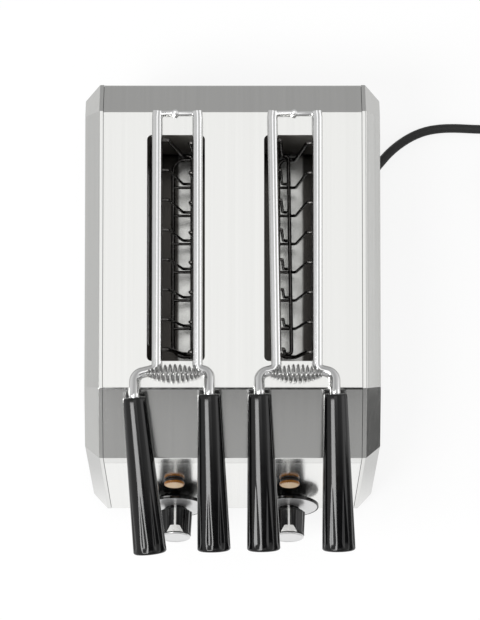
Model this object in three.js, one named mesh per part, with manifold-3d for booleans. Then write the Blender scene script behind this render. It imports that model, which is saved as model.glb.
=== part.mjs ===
// Two-slot sandwich toaster with two hanging wire tongs.
// Millimetres, +Z up, the control panel faces -Y and the hinges of the tongs lie towards +Y.
import * as THREE from 'three';
import { mergeVertices } from 'three/addons/utils/BufferGeometryUtils.js';
import Module from 'manifold-3d';

const wasm = await Module();
wasm.setup();

// Case
const caseWidth = 254;
const caseDepth = 368;
const caseTop = 160;
const footHeight = 16;
const cheekWidth = 16.5;
const cheekRim = 3.4;
const cheekInset = 13;
const frontFacetRun = 59.5;
const frontFacetDrop = 14;
const backFacetRun = 24.6;
const backFacetDrop = 13;
const panelLean = 46.8;
const lipHeight = 12;
const sheet = 1.2;
const thinSheet = 0.8;
const seam = 0.3;
const cheekTongue = 8;
const overrun = 5;

// Sideways places and widths as shares of the case's width
const widthShares = {
  slotWidthShare: 0.1945, slotPitchShare: 0.3937, slotShiftShare: 0.0063,
  knobPitchShare: 0.3992, knobShiftShare: -0.0024,
};
const wrapperWidth = caseWidth - 2 * cheekWidth;
const slotWidth = caseWidth * widthShares.slotWidthShare;
const slotPitch = caseWidth * widthShares.slotPitchShare;
const slotShift = caseWidth * widthShares.slotShiftShare;
const knobPitch = caseWidth * widthShares.knobPitchShare;
const knobShift = caseWidth * widthShares.knobShiftShare;

// Slots and the chambers below them
const slotLength = 193.4;
const slotCentreY = 42;
const slotCorner = 4;
const chamberRoom = 0.8;
const chamberFloor = 31;
const windowHeight = 64;
const windowBottom = 66;
const windowEndMargin = 16;

// Heaters
const heaterRadius = 5;
const heaterBlockHalf = 7;
const heaterBlockDepth = 6;
const heaterStandOffShare = 0.19;
const heaterPitch = 42;
const reflectorRoom = 10;

// Crumb tray
const trayFloor = 1;
const trayWall = 9;
const trayMarginShare = 0.0354;
const trayFaceHeight = 15;
const trayFaceMargin = 5;
const trayLipWidth = 70;
const trayLipReach = 14;
const trayOpeningRoom = 1.5;

// Feet
const footRadius = 12;
const footToeRadius = 10;
const footRecess = 5;
const footRecessRadius = 5;
const footStemRadius = 3;
const footBarbRadius = 4.2;
const footBarbLength = 5;
const footInsetX = 27;
const footInsetFront = 34;
const footInsetBack = 30;

// Controls on the leaning panel, measured up the panel from its lower edge
const knobHeight = 31;
const lampHeight = 79;
const skirtRadius = 27.3;
const skirtGap = 6;
const skirtThickness = 3.4;
const skirtEdge = 1;
const hubGap = 1.5;
const hubRadius = 17;
const hubTopRadius = 22;
const dialRingRadius = 26;
const dialRingThickness = 0.8;
const knobRootRadius = 15.2;
const knobTipRadius = 14;
const knobLength = 27.9;
const knobFlutes = 14;
const knobFluteDepth = 0.7;
const knobCapThickness = 1.5;
const shaftRadius = 3;
const shaftDepthInTimer = 12;
const shaftDepthInKnob = 16;
const timerSize = 34;
const timerDepth = 26;
const bushRadius = 5;
const pointerWidth = 1.8;
const pointerStart = 2.5;
const pointerNeckWidth = 8.4;
const pointerHeadWidth = 13.5;
const pointerHeadLength = 6;
const lampRimRadius = 8.9;
const lampRootRadius = 6.6;
const lampReach = 4.6;
const lampStemRadius = 6;
const lampStemDepth = 22;

// Tongs
const barRadius = 4.4;
const barSpacingShare = 0.7004;
const barSpacing = slotWidth * barSpacingShare;
const barSeat = 0.3;
const wireSides = 8;
const hingeOverhang = 18.3;
const tabThickness = 3;
const tabHalfWidth = 1.6;
const barOverhang = 2.1;
const eyeRadius = 2.9;
const pinRadius = 1.3;
const pinHeadRadius = 2.4;
const pinHeadHeight = 1;
const barBend = 5.2;
const handleBend = 8.4;
const collarBend = 3;
const collarStub = 2;
const bendReach = 7;
const jogRise = 1.5;
const jogSlopeShare = 0.24;
const springReach = 11.1;
const springWire = 1.6;
const springEndRadius = 2.9;
const springMidRadius = 8;
const springLift = 1.6;
const springTurns = 12;
const springPitchShare = 0.2;
const gripLength = 133;
const gripNearRadius = 10;
const gripFarRadius = 14.2;
const gripDrop = 12.6;
const gripBore = 26;
const gripHeight = 11.5;
const gripEdge = 1.6;
const collarReach = 28.3;
const ribRadius = 1.3;
const frameWireRadius = 1.7;
const ribPitch = 25.5;
const ribCount = 8;
const cageBackGap = 3.4;
const cageBend = 4;
const cageCorner = 11;
const leftCageDepth = 95;
const rightCageDepth = 104;
const ribOffset = 2.2;
const ribDropAtBar = 0.8;

// Mains lead
const cordRadius = 4.1;
const coilRadius = 45;
const coilTurnsInLayer = 1.875;
const coilPitch = 9;
const coilLayerRise = 8.9;
const coilTail = 52;
const glandRadius = 7;
const glandTipRadius = 5;
const glandLength = 26;
const glandInset = 27;
const glandFromBack = 90;
const glandAngle = 47;
const leadRun = 200;
const glandPostRadius = 7.5;
const glandPostTop = 6;
const terminalWidth = 14;
const terminalLength = 26;
const terminalHeight = 12;
const terminalScrewRadius = 2.4;
const terminalGap = 8;
const plugRadius = 18.5;
const plugNeckRadius = 7;
const plugLength = 38;
const plugNeckLength = 20;
const plugCarrierRadius = 16;
const plugCarrierThickness = 1.2;
const plugPinRadius = 2.4;
const plugPinLength = 19;
const plugPinPitch = 19;

// Proportions of the hand bent wires, as shares of the bar spacing, counted from the slot's centre
const leftTongShares = {
  pinShare: -0.02,
  springShares: [-0.694, 0.627],
  leftBarShares: {
    backShare: -0.462, frontShare: -0.462, handleShare: -1.003, gripEndShare: -0.62, gripStartShare: 0.08,
  },
  rightBarShares: {
    backShare: 0.535, frontShare: 0.535, handleShare: 0.829, gripEndShare: 0.942, gripStartShare: 0,
  },
  leftCageShares: { flangeShare: 0.28, leanShare: 0.295, footShare: 0.237 },
  rightCageShares: { flangeShare: 0.19, leanShare: -0.127, footShare: 0.624 },
};
const rightTongShares = {
  pinShare: 0.02,
  springShares: [-0.552, 0.714],
  leftBarShares: {
    backShare: -0.509, frontShare: -0.416, handleShare: -0.835, gripEndShare: -0.728, gripStartShare: -0.01,
  },
  rightBarShares: {
    backShare: 0.598, frontShare: 0.587, handleShare: 1.017, gripEndShare: 1.11, gripStartShare: -0.01,
  },
  leftCageShares: { flangeShare: 0.185, leanShare: 0.098, footShare: 0.173 },
  rightCageShares: { flangeShare: 0.251, leanShare: 0.188, footShare: 0.457 },
};

// The lead's way over the table from the gland, as shares of leadRun
const leadShares = [
  [0.1225, 0.132], [0.155, 0.17], [0.19, 0.212], [0.227, 0.253], [0.273, 0.292],
  [0.33, 0.328], [0.395, 0.354], [0.465, 0.366], [0.535, 0.368], [0.605, 0.365],
  [0.675, 0.363], [0.745, 0.366], [0.815, 0.373], [0.885, 0.38], [0.945, 0.383],
];

const steel = () => new THREE.MeshStandardMaterial({ color: 0xc9c9c7, roughness: 0.35, metalness: 1 });
const innerSteel = () => new THREE.MeshStandardMaterial({ color: 0x9a9a98, roughness: 0.5, metalness: 1 });
const chrome = () => new THREE.MeshStandardMaterial({ color: 0xd8d8d8, roughness: 0.12, metalness: 1 });
const cageWire = () => new THREE.MeshStandardMaterial({ color: 0x3a3836, roughness: 0.4, metalness: 0.9 });
const blackPlastic = () => new THREE.MeshStandardMaterial({ color: 0x141414, roughness: 0.2 });
const rubber = () => new THREE.MeshStandardMaterial({ color: 0x222222, roughness: 0.7 });
const silverPaint = () => new THREE.MeshStandardMaterial({ color: 0xdcdcdc, roughness: 0.3, metalness: 0.6 });
const whitePaint = () => new THREE.MeshStandardMaterial({ color: 0xf2f2f0, roughness: 0.5 });
const amber = () => new THREE.MeshStandardMaterial({ color: 0xe08a1a, roughness: 0.15 });
const quartz = () => new THREE.MeshStandardMaterial({ color: 0xe6e2da, roughness: 0.3 });
const ceramic = () => new THREE.MeshStandardMaterial({ color: 0xe4dfd2, roughness: 0.8 });
const brass = () => new THREE.MeshStandardMaterial({ color: 0xc8a24a, roughness: 0.3, metalness: 1 });

const model = new THREE.Group();
const cordNodes = [];

function add(name, geometry, material, parent = model) {
  const mesh = new THREE.Mesh(outward(geometry), material);
  mesh.name = name;
  parent.add(mesh);
  return mesh;
}

// Turns a closed geometry's faces outwards when their signed volume is negative
function outward(geometry) {
  const flat = geometry.index ? geometry.toNonIndexed() : geometry;
  const place = flat.attributes.position;
  const a = new THREE.Vector3();
  const b = new THREE.Vector3();
  const c = new THREE.Vector3();
  let volume = 0;
  for (let i = 0; i < place.count; i += 3) {
    a.fromBufferAttribute(place, i);
    b.fromBufferAttribute(place, i + 1);
    c.fromBufferAttribute(place, i + 2);
    volume += a.dot(b.cross(c));
  }
  if (volume < 0) {
    for (let i = 0; i < place.count; i += 3) {
      a.fromBufferAttribute(place, i + 1);
      b.fromBufferAttribute(place, i + 2);
      place.setXYZ(i + 1, b.x, b.y, b.z);
      place.setXYZ(i + 2, a.x, a.y, a.z);
    }
  }
  const plain = new THREE.BufferGeometry();
  plain.setAttribute('position', place);
  plain.computeVertexNormals();
  return plain;
}

function toSolid(geometry) {
  const plain = outward(geometry);
  plain.deleteAttribute('normal');
  const merged = mergeVertices(plain);
  const mesh = new wasm.Mesh({
    numProp: 3,
    vertProperties: Float32Array.from(merged.attributes.position.array),
    triVerts: Uint32Array.from(merged.index.array),
  });
  return new wasm.Manifold(mesh);
}

function toGeometry(solid) {
  const mesh = solid.getMesh();
  const geometry = new THREE.BufferGeometry();
  geometry.setAttribute('position', new THREE.BufferAttribute(Float32Array.from(mesh.vertProperties), 3));
  geometry.setIndex(Array.from(mesh.triVerts));
  return geometry;
}

function join(...geometries) {
  return toGeometry(geometries.map(toSolid).reduce((whole, piece) => whole.add(piece)));
}

function cut(geometry, ...cutters) {
  return toGeometry(cutters.map(toSolid).reduce((rest, cutter) => rest.subtract(cutter), toSolid(geometry)));
}

function block(x0, x1, y0, y1, z0, z1) {
  const geometry = new THREE.BoxGeometry(x1 - x0, y1 - y0, z1 - z0);
  return geometry.translate((x0 + x1) / 2, (y0 + y1) / 2, (z0 + z1) / 2);
}

// A rod along +Z from z0 to z1
function rod(radius, z0, z1, sides = 16, endRadius = radius) {
  const geometry = new THREE.CylinderGeometry(endRadius, radius, z1 - z0, sides);
  return geometry.rotateX(Math.PI / 2).translate(0, 0, (z0 + z1) / 2);
}

// A rod or cone from one point to another
function strut(from, to, fromRadius, toRadius, sides) {
  const along = new THREE.Vector3().subVectors(to, from);
  const geometry = rod(fromRadius, 0, along.length(), sides, toRadius);
  const turn = new THREE.Quaternion().setFromUnitVectors(new THREE.Vector3(0, 0, 1), along.normalize());
  return geometry.applyQuaternion(turn).translate(from.x, from.y, from.z);
}

// A turned solid about +Z from [radius, height] points
function turned(points, sides) {
  const outline = points.map(([radius, height]) => new THREE.Vector2(radius, height));
  return new THREE.LatheGeometry(outline, sides).rotateX(Math.PI / 2);
}

function shapeOf(points) {
  return new THREE.Shape(points.map(([x, y]) => new THREE.Vector2(x, y)));
}

function plate(shape, z0, z1, curveSegments = 4) {
  const options = { depth: z1 - z0, bevelEnabled: false, curveSegments };
  return new THREE.ExtrudeGeometry(shape, options).translate(0, 0, z0);
}

// Extrudes a [y, z] outline along X
function alongX(points, x0, x1) {
  const axes = new THREE.Matrix4().makeBasis(
    new THREE.Vector3(0, 1, 0), new THREE.Vector3(0, 0, 1), new THREE.Vector3(1, 0, 0));
  return plate(shapeOf(points), x0, x1).applyMatrix4(axes);
}

// Extrudes an [x, z] outline along Y
function alongY(points, y0, y1) {
  const axes = new THREE.Matrix4().makeBasis(
    new THREE.Vector3(1, 0, 0), new THREE.Vector3(0, 0, 1), new THREE.Vector3(0, -1, 0));
  return plate(shapeOf(points), -y1, -y0).applyMatrix4(axes);
}

function roundedRectangle(x, y, width, length, corner) {
  const shape = new THREE.Shape();
  const right = width / 2 - corner;
  const top = length / 2 - corner;
  shape.absarc(x + right, y + top, corner, 0, Math.PI / 2);
  shape.absarc(x - right, y + top, corner, Math.PI / 2, Math.PI);
  shape.absarc(x - right, y - top, corner, Math.PI, Math.PI * 1.5);
  shape.absarc(x + right, y - top, corner, Math.PI * 1.5, Math.PI * 2);
  return shape;
}

// A path through given points, with each ring of a swept tube square to the bisector there
class WirePath extends THREE.Curve {
  constructor(points) {
    super();
    this.points = points;
  }
  getPoint(share, target = new THREE.Vector3()) {
    const place = share * (this.points.length - 1);
    const index = Math.min(Math.floor(place), this.points.length - 2);
    return target.lerpVectors(this.points[index], this.points[index + 1], place - index);
  }
  getSpacedPoints() {
    return this.points.map((point) => point.clone());
  }
  getTangentAt(share, target = new THREE.Vector3()) {
    const last = this.points.length - 1;
    const index = Math.round(share * last);
    const here = this.points[index];
    const before = new THREE.Vector3();
    const after = new THREE.Vector3();
    if (index > 0) before.subVectors(here, this.points[index - 1]).normalize();
    if (index < last) after.subVectors(this.points[index + 1], here).normalize();
    return target.addVectors(before, after).normalize();
  }
}

function wire(points, radius, sides) {
  const section = new THREE.Shape();
  for (let i = 0; i < sides; i += 1) {
    const angle = (i / sides) * Math.PI * 2;
    const x = radius * Math.cos(angle);
    const y = radius * Math.sin(angle);
    if (i === 0) section.moveTo(x, y);
    else section.lineTo(x, y);
  }
  section.closePath();
  return new THREE.ExtrudeGeometry(section, { steps: points.length - 1, extrudePath: new WirePath(points) });
}

const vec = (x, y, z) => new THREE.Vector3(x, y, z);

// A corner may use this much of a straight piece, at the route's ends and between two corners
const endRoomShare = 0.95;
const cornerRoomShare = 0.5;

// Replaces each inner corner of a route by an arc; radii is one radius or one for each corner
function rounded(points, radii, steps = 3) {
  const route = [points[0]];
  for (let i = 1; i < points.length - 1; i += 1) {
    const radius = Array.isArray(radii) ? radii[i - 1] : radii;
    const back = vec().subVectors(points[i - 1], points[i]);
    const ahead = vec().subVectors(points[i + 1], points[i]);
    const backRoom = back.length() * (i === 1 ? endRoomShare : cornerRoomShare);
    const aheadRoom = ahead.length() * (i === points.length - 2 ? endRoomShare : cornerRoomShare);
    back.normalize();
    ahead.normalize();
    const half = back.angleTo(ahead) / 2;
    const reach = Math.min(radius / Math.tan(half), backRoom, aheadRoom);
    const trueRadius = reach * Math.tan(half);
    const centre = vec().addVectors(back, ahead).normalize();
    centre.multiplyScalar(trueRadius / Math.sin(half)).add(points[i]);
    const from = vec().copy(points[i]).addScaledVector(back, reach).sub(centre);
    const to = vec().copy(points[i]).addScaledVector(ahead, reach).sub(centre);
    const sweep = from.angleTo(to);
    for (let step = 0; step <= steps; step += 1) {
      const share = step / steps;
      const a = Math.sin((1 - share) * sweep) / Math.sin(sweep);
      const b = Math.sin(share * sweep) / Math.sin(sweep);
      route.push(vec().addScaledVector(from, a).addScaledVector(to, b).add(centre));
    }
  }
  route.push(points[points.length - 1]);
  return route;
}

// The case's outline in the YZ plane, clockwise from the lower front edge
const frontY = -caseDepth / 2;
const backY = caseDepth / 2;
const panelTopY = frontY + panelLean;
const panelTopZ = caseTop - frontFacetDrop;
const caseOutline = [
  [frontY, footHeight],
  [panelTopY, panelTopZ],
  [panelTopY + frontFacetRun, caseTop],
  [backY - backFacetRun, caseTop],
  [backY, caseTop - backFacetDrop],
  [backY, footHeight],
];
const panelAngle = Math.atan2(panelLean, panelTopZ - footHeight);
const panelLength = Math.hypot(panelLean, panelTopZ - footHeight);

// Moves every edge of the outline inwards, and its bottom edge by its own amount
function insetOutline(inset, bottomInset = 0) {
  const count = caseOutline.length;
  const lines = caseOutline.map((start, i) => {
    const end = caseOutline[(i + 1) % count];
    const length = Math.hypot(end[0] - start[0], end[1] - start[1]);
    const along = [(end[0] - start[0]) / length, (end[1] - start[1]) / length];
    const shift = i === count - 1 ? bottomInset : inset;
    return { along, point: [start[0] + along[1] * shift, start[1] - along[0] * shift] };
  });
  return lines.map((line, i) => {
    const before = lines[(i + count - 1) % count];
    const cross = before.along[0] * line.along[1] - before.along[1] * line.along[0];
    const dy = line.point[0] - before.point[0];
    const dz = line.point[1] - before.point[1];
    const share = (dy * line.along[1] - dz * line.along[0]) / cross;
    return [before.point[0] + before.along[0] * share, before.point[1] + before.along[1] * share];
  });
}

// A closed solid through convex rings of equal count, each { x, outline }
function loft(rings) {
  const corners = rings.map(({ x, outline }) => outline.map(([y, z]) => vec(x, y, z)));
  const triangles = [];
  const count = corners[0].length;
  for (let i = 0; i < corners.length - 1; i += 1) {
    for (let j = 0; j < count; j += 1) {
      const next = (j + 1) % count;
      triangles.push(corners[i][j], corners[i + 1][j], corners[i + 1][next]);
      triangles.push(corners[i][j], corners[i + 1][next], corners[i][next]);
    }
  }
  const last = corners[corners.length - 1];
  for (let j = 1; j < count - 1; j += 1) {
    triangles.push(corners[0][0], corners[0][j], corners[0][j + 1]);
    triangles.push(last[0], last[j + 1], last[j]);
  }
  return new THREE.BufferGeometry().setFromPoints(triangles);
}

const slotCentres = [slotShift - slotPitch / 2, slotShift + slotPitch / 2];
const slotFrontY = slotCentreY - slotLength / 2;
const slotBackY = slotCentreY + slotLength / 2;
const wrapperHalf = wrapperWidth / 2;
const rimStart = wrapperHalf + seam;
const rimEnd = rimStart + cheekRim;
const trayHalf = slotPitch / 2 + slotWidth / 2 + caseWidth * trayMarginShare;
const trayBottom = footHeight + seam + sheet + seam;
const trayTop = trayBottom + trayWall;
const openingTop = trayTop + trayOpeningRoom;

function makeTopWrapper() {
  const outer = insetOutline(0);
  const inner = insetOutline(sheet);
  const lipShare = lipHeight / (panelTopZ - footHeight);
  const lipEnd = [panelTopY - panelLean * lipShare, panelTopZ - lipHeight];
  const lipInner = [lipEnd[0] + sheet * Math.cos(panelAngle), lipEnd[1] - sheet * Math.sin(panelAngle)];
  const outline = [lipEnd, outer[1], outer[2], outer[3], outer[4], outer[5],
    [inner[5][0], footHeight], inner[4], inner[3], inner[2], inner[1], lipInner];
  const shell = alongX(outline, -wrapperHalf, wrapperHalf);
  const slots = slotCentres.map((x) => plate(
    roundedRectangle(x, slotCentreY, slotWidth, slotLength, slotCorner),
    caseTop - overrun, caseTop + overrun));
  const opening = block(
    slotShift - trayHalf - trayOpeningRoom, slotShift + trayHalf + trayOpeningRoom,
    backY - overrun, backY + overrun, footHeight - overrun, openingTop);
  return cut(shell, ...slots, opening);
}

function makeCheek(side) {
  const step = sheet + seam;
  const outer = loft([
    { x: rimStart - cheekTongue, outline: insetOutline(step) },
    { x: rimStart, outline: insetOutline(step) },
    { x: rimStart, outline: insetOutline(0) },
    { x: rimEnd, outline: insetOutline(0) },
    { x: caseWidth / 2, outline: insetOutline(cheekInset) },
  ]);
  const hollow = loft([
    { x: rimStart - cheekTongue - overrun, outline: insetOutline(step + sheet, -overrun) },
    { x: rimEnd - sheet, outline: insetOutline(step + sheet, -overrun) },
    { x: caseWidth / 2 - sheet, outline: insetOutline(cheekInset + sheet, -overrun) },
  ]);
  const cheek = cut(outer, hollow);
  return side < 0 ? cheek.scale(-1, 1, 1) : cheek;
}

// A frame on the leaning panel: +Z out of it, +Y up it, its origin on the lower edge
const panelFrame = new THREE.Group();
panelFrame.position.set(0, frontY, footHeight);
panelFrame.rotation.x = Math.PI / 2 - panelAngle;
model.add(panelFrame);
const knobCentres = [knobShift - knobPitch / 2, knobShift + knobPitch / 2];

function makeFrontPanel() {
  const lipLength = lipHeight / Math.cos(panelAngle);
  const floorGap = sheet * Math.tan(panelAngle) + seam;
  const face = block(-wrapperHalf, wrapperHalf, floorGap, panelLength - lipLength - seam, -sheet, 0);
  const holes = knobCentres.flatMap((x) => [
    rod(bushRadius + seam, -overrun, overrun).translate(x, knobHeight, 0),
    rod(lampStemRadius + seam, -overrun, overrun).translate(x, lampHeight, 0),
  ]);
  return cut(face, ...holes);
}

const glandSpot = {
  x: caseWidth / 2 - glandInset, y: backY - glandFromBack, angle: THREE.MathUtils.degToRad(glandAngle),
};
const footSpots = {
  left_front_foot: [-1, frontY + footInsetFront],
  right_front_foot: [1, frontY + footInsetFront],
  left_back_foot: [-1, backY - footInsetBack],
  right_back_foot: [1, backY - footInsetBack],
};
const footX = caseWidth / 2 - footInsetX;

function makeBasePlate() {
  const clear = sheet + seam;
  const lean = clear * Math.tan(panelAngle);
  const halfOuter = caseWidth / 2 - clear;
  const halfRim = rimEnd - clear;
  const rim = insetOutline(2 * clear);
  const foot = insetOutline(cheekInset + clear);
  const front = rim[0][0] + lean;
  const frontCorner = foot[0][0] + lean;
  const outline = [
    [halfRim, front], [halfOuter, frontCorner], [halfOuter, foot[5][0]], [halfRim, rim[5][0]],
    [-halfRim, rim[5][0]], [-halfOuter, foot[5][0]], [-halfOuter, frontCorner], [-halfRim, front],
  ];
  const holes = Object.values(footSpots).map(([side, y]) => (
    rod(footStemRadius + seam, -overrun, overrun, 16).translate(side * footX, y, footHeight + seam)));
  const leadHole = rod(glandPostRadius + seam, -overrun, overrun).translate(
    glandSpot.x, glandSpot.y, footHeight + seam);
  return cut(plate(shapeOf(outline), footHeight + seam, footHeight + seam + sheet), ...holes, leadHole);
}

// A rubber foot with a stem that is pressed through the base plate
function makeFoot() {
  const seat = footHeight + seam + sheet + seam;
  return turned([
    [0, footRecess], [footRecessRadius, footRecess], [footRecessRadius, 0], [footToeRadius, 0],
    [footRadius, footHeight], [footStemRadius, footHeight], [footStemRadius, seat],
    [footBarbRadius, seat], [footStemRadius, seat + footBarbLength], [0, seat + footBarbLength],
  ], 16);
}

// The chambers hang below the slots between two bulkheads
const chamberHalf = slotWidth / 2 + chamberRoom;
const chamberTop = caseTop - sheet - seam;
const frontBulkheadY = slotFrontY - chamberRoom - thinSheet - seam;
const backBulkheadY = slotBackY + chamberRoom + thinSheet + seam;
const chamberGap = slotPitch - 2 * (chamberHalf + thinSheet);
const heaterStandOff = chamberGap * heaterStandOffShare;
const heaterOffset = chamberHalf + thinSheet + heaterStandOff;
const heaterLevels = [
  windowBottom + (windowHeight - heaterPitch) / 2, windowBottom + (windowHeight + heaterPitch) / 2];
const heaterRows = {
  left_outer: slotCentres[0] - heaterOffset,
  left_inner: slotCentres[0] + heaterOffset,
  right_inner: slotCentres[1] - heaterOffset,
  right_outer: slotCentres[1] + heaterOffset,
};

function makeChamber(x) {
  const wall = chamberHalf + thinSheet;
  const y0 = slotFrontY - chamberRoom;
  const y1 = slotBackY + chamberRoom;
  const tube = block(x - wall, x + wall, y0 - thinSheet, y1 + thinSheet, chamberFloor, chamberTop);
  const bore = block(x - chamberHalf, x + chamberHalf, y0, y1, chamberFloor - overrun, chamberTop + overrun);
  const windows = block(
    x - wall - overrun, x + wall + overrun, slotFrontY + windowEndMargin, slotBackY - windowEndMargin,
    windowBottom, windowBottom + windowHeight);
  return cut(tube, bore, windows);
}

function makeBulkhead(y0, y1, hasTrayGap) {
  const half = rimStart - cheekTongue - seam;
  const bottom = footHeight + seam + sheet + seam;
  const panel = block(-half, half, y0, y1, bottom, chamberTop);
  const holes = Object.values(heaterRows).flatMap((x) => heaterLevels.map((z) => (
    rod(heaterRadius + seam, y0 - overrun, y1 + overrun, 12).rotateX(Math.PI / 2).translate(
      x, y0 + y1, z))));
  if (!hasTrayGap) return cut(panel, ...holes);
  const gap = block(
    slotShift - trayHalf - trayOpeningRoom, slotShift + trayHalf + trayOpeningRoom,
    y0 - overrun, y1 + overrun, bottom - overrun, openingTop);
  return cut(panel, ...holes, gap);
}

// Two quartz tubes in a pair of ceramic end blocks
function makeHeaters(x) {
  const front = frontBulkheadY - thinSheet - seam;
  const back = backBulkheadY + thinSheet + seam;
  const low = heaterLevels[0] - heaterBlockHalf;
  const high = heaterLevels[1] + heaterBlockHalf;
  const tubes = heaterLevels.map((z) => (
    rod(heaterRadius, front - heaterBlockDepth / 2, back + heaterBlockDepth / 2, 12)
      .rotateX(-Math.PI / 2).translate(x, 0, z)));
  const x0 = x - heaterBlockHalf;
  const x1 = x + heaterBlockHalf;
  return join(
    ...tubes, block(x0, x1, front - heaterBlockDepth, front, low, high),
    block(x0, x1, back, back + heaterBlockDepth, low, high));
}

// A reflector with its two flanges towards the chamber, and the double one between the chambers
function makeReflector(points) {
  return alongY(points, frontBulkheadY + seam, backBulkheadY - seam);
}

const reflectorBottom = windowBottom - overrun;
const reflectorTop = windowBottom + windowHeight + overrun;

function outerReflectorOutline(row, side) {
  const web = row + side * reflectorRoom;
  const edge = row - side * (heaterStandOff - seam);
  return [
    [edge, reflectorBottom], [web, reflectorBottom], [web, reflectorTop], [edge, reflectorTop],
    [edge, reflectorTop - thinSheet], [web - side * thinSheet, reflectorTop - thinSheet],
    [web - side * thinSheet, reflectorBottom + thinSheet], [edge, reflectorBottom + thinSheet],
  ];
}

function centreReflectorOutline() {
  const left = slotCentres[0] + chamberHalf + thinSheet + seam;
  const right = slotCentres[1] - chamberHalf - thinSheet - seam;
  const webLeft = slotShift - thinSheet / 2;
  const webRight = slotShift + thinSheet / 2;
  const low = reflectorBottom + thinSheet;
  const high = reflectorTop - thinSheet;
  return [
    [left, reflectorBottom], [right, reflectorBottom], [right, low], [webRight, low], [webRight, high],
    [right, high], [right, reflectorTop], [left, reflectorTop], [left, high], [webLeft, high],
    [webLeft, low], [left, low],
  ];
}

function makeCrumbTray() {
  const x0 = slotShift - trayHalf;
  const x1 = slotShift + trayHalf;
  const y0 = slotFrontY + seam;
  const faceY = backY + seam;
  const body = block(x0, x1, y0, faceY + trayFloor / 2, trayBottom, trayTop);
  const hollow = block(
    x0 + trayFloor, x1 - trayFloor, y0 + trayFloor, backY - overrun,
    trayBottom + trayFloor, trayTop + overrun);
  const lipTop = trayBottom + trayFaceHeight;
  const face = block(
    x0 - trayFaceMargin, x1 + trayFaceMargin, faceY, faceY + trayFloor, trayBottom - seam, lipTop);
  const outline = [
    [faceY, lipTop - trayFloor], [faceY + trayLipReach, lipTop - trayFloor],
    [faceY + trayLipReach, lipTop - trayWall / 2], [faceY + trayLipReach + trayFloor, lipTop - trayWall / 2],
    [faceY + trayLipReach + trayFloor, lipTop], [faceY, lipTop],
  ];
  const lip = alongX(outline, slotShift - trayLipWidth / 2, slotShift + trayLipWidth / 2);
  return join(cut(body, hollow), face, lip);
}

// Controls
function fluted(radius, height) {
  const ring = [];
  const count = knobFlutes * 2;
  for (let i = 0; i < count; i += 1) {
    const angle = ((i + 0.5) / count) * Math.PI * 2;
    const reach = radius - (i % 2) * knobFluteDepth;
    ring.push(vec(reach * Math.cos(angle), reach * Math.sin(angle), height));
  }
  return ring;
}

function makeKnobGrip() {
  const base = skirtGap + skirtThickness + seam;
  const tip = base + knobLength - knobCapThickness;
  const low = fluted(knobRootRadius, base);
  const high = fluted(knobTipRadius, tip);
  const triangles = [];
  for (let i = 0; i < low.length; i += 1) {
    const next = (i + 1) % low.length;
    triangles.push(low[i], low[next], high[next], low[i], high[next], high[i]);
    triangles.push(vec(0, 0, base), low[next], low[i], vec(0, 0, tip), high[i], high[next]);
  }
  const body = new THREE.BufferGeometry().setFromPoints(triangles);
  const bore = rod(shaftRadius + seam, base - overrun, base + shaftDepthInKnob, 16);
  return cut(body, bore, makePointer(seam));
}

// The pointer is let into the grip's upper side, and room widens it into its own bed
function makePointer(room) {
  const base = skirtGap + skirtThickness + seam;
  const tip = base + knobLength - knobCapThickness - seam;
  const neck = tip - pointerHeadLength - room;
  const half = pointerWidth / 2 + room;
  const headHalf = pointerHeadWidth / 2 + room;
  const neckHalf = pointerNeckWidth / 2 + room;
  const start = base + pointerStart - room;
  const outline = [
    [-half, start], [half, start], [half, neck], [neckHalf, neck], [headHalf, tip + 2 * room],
    [-headHalf, tip + 2 * room], [-neckHalf, neck], [-half, neck],
  ];
  const high = knobRootRadius + (room > 0 ? overrun : 0);
  const low = knobTipRadius - knobFluteDepth - pointerHeadLength / 2 - room;
  const wedge = alongY(outline, low, high);
  if (room > 0) return wedge;
  const limit = rod(knobRootRadius, base, tip + overrun, 28, knobTipRadius);
  return toGeometry(toSolid(wedge).intersect(toSolid(limit)));
}

function makeKnobCap() {
  const base = skirtGap + skirtThickness + seam + knobLength - knobCapThickness + seam;
  const edge = knobCapThickness / 3;
  return turned([
    [0, base], [knobTipRadius - edge, base], [knobTipRadius - edge, base + edge],
    [knobTipRadius - edge * 2, base + knobCapThickness], [0, base + knobCapThickness],
  ], 24);
}

function makeSkirt() {
  const top = skirtGap + skirtThickness;
  const bed = top - dialRingThickness;
  const bore = shaftRadius + seam;
  return turned([
    [bore, hubGap], [hubRadius, hubGap], [hubTopRadius, skirtGap],
    [skirtRadius - skirtEdge, skirtGap], [skirtRadius, skirtGap + dialRingThickness],
    [skirtRadius, top - dialRingThickness / 2], [skirtRadius - dialRingThickness / 2, top],
    [dialRingRadius + seam, top], [dialRingRadius + seam, bed - seam],
    [bore, bed - seam], [bore, hubGap],
  ], 30);
}

function makeDialRing() {
  const top = skirtGap + skirtThickness;
  const bore = shaftRadius + seam;
  return turned([
    [bore, top - dialRingThickness], [dialRingRadius, top - dialRingThickness],
    [dialRingRadius, top], [bore, top], [bore, top - dialRingThickness],
  ], 30);
}

function makeTimer() {
  const half = timerSize / 2;
  const box = block(-half, half, -half, half, -sheet - seam - timerDepth, -sheet - seam);
  const bush = rod(bushRadius, -sheet - seam - overrun, 0);
  const bore = rod(shaftRadius + seam, -sheet - shaftDepthInTimer - seam, overrun);
  return cut(join(box, bush), bore);
}

function makeLamp() {
  const bead = lampReach / 6;
  return turned([
    [0, -lampStemDepth], [lampStemRadius, -lampStemDepth], [lampStemRadius, seam], [lampRootRadius, seam],
    [lampRootRadius, lampReach / 2 - bead], [lampRimRadius, lampReach / 2], [lampRimRadius, lampReach - bead],
    [lampRimRadius - bead, lampReach], [0, lampReach],
  ], 20);
}

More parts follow.
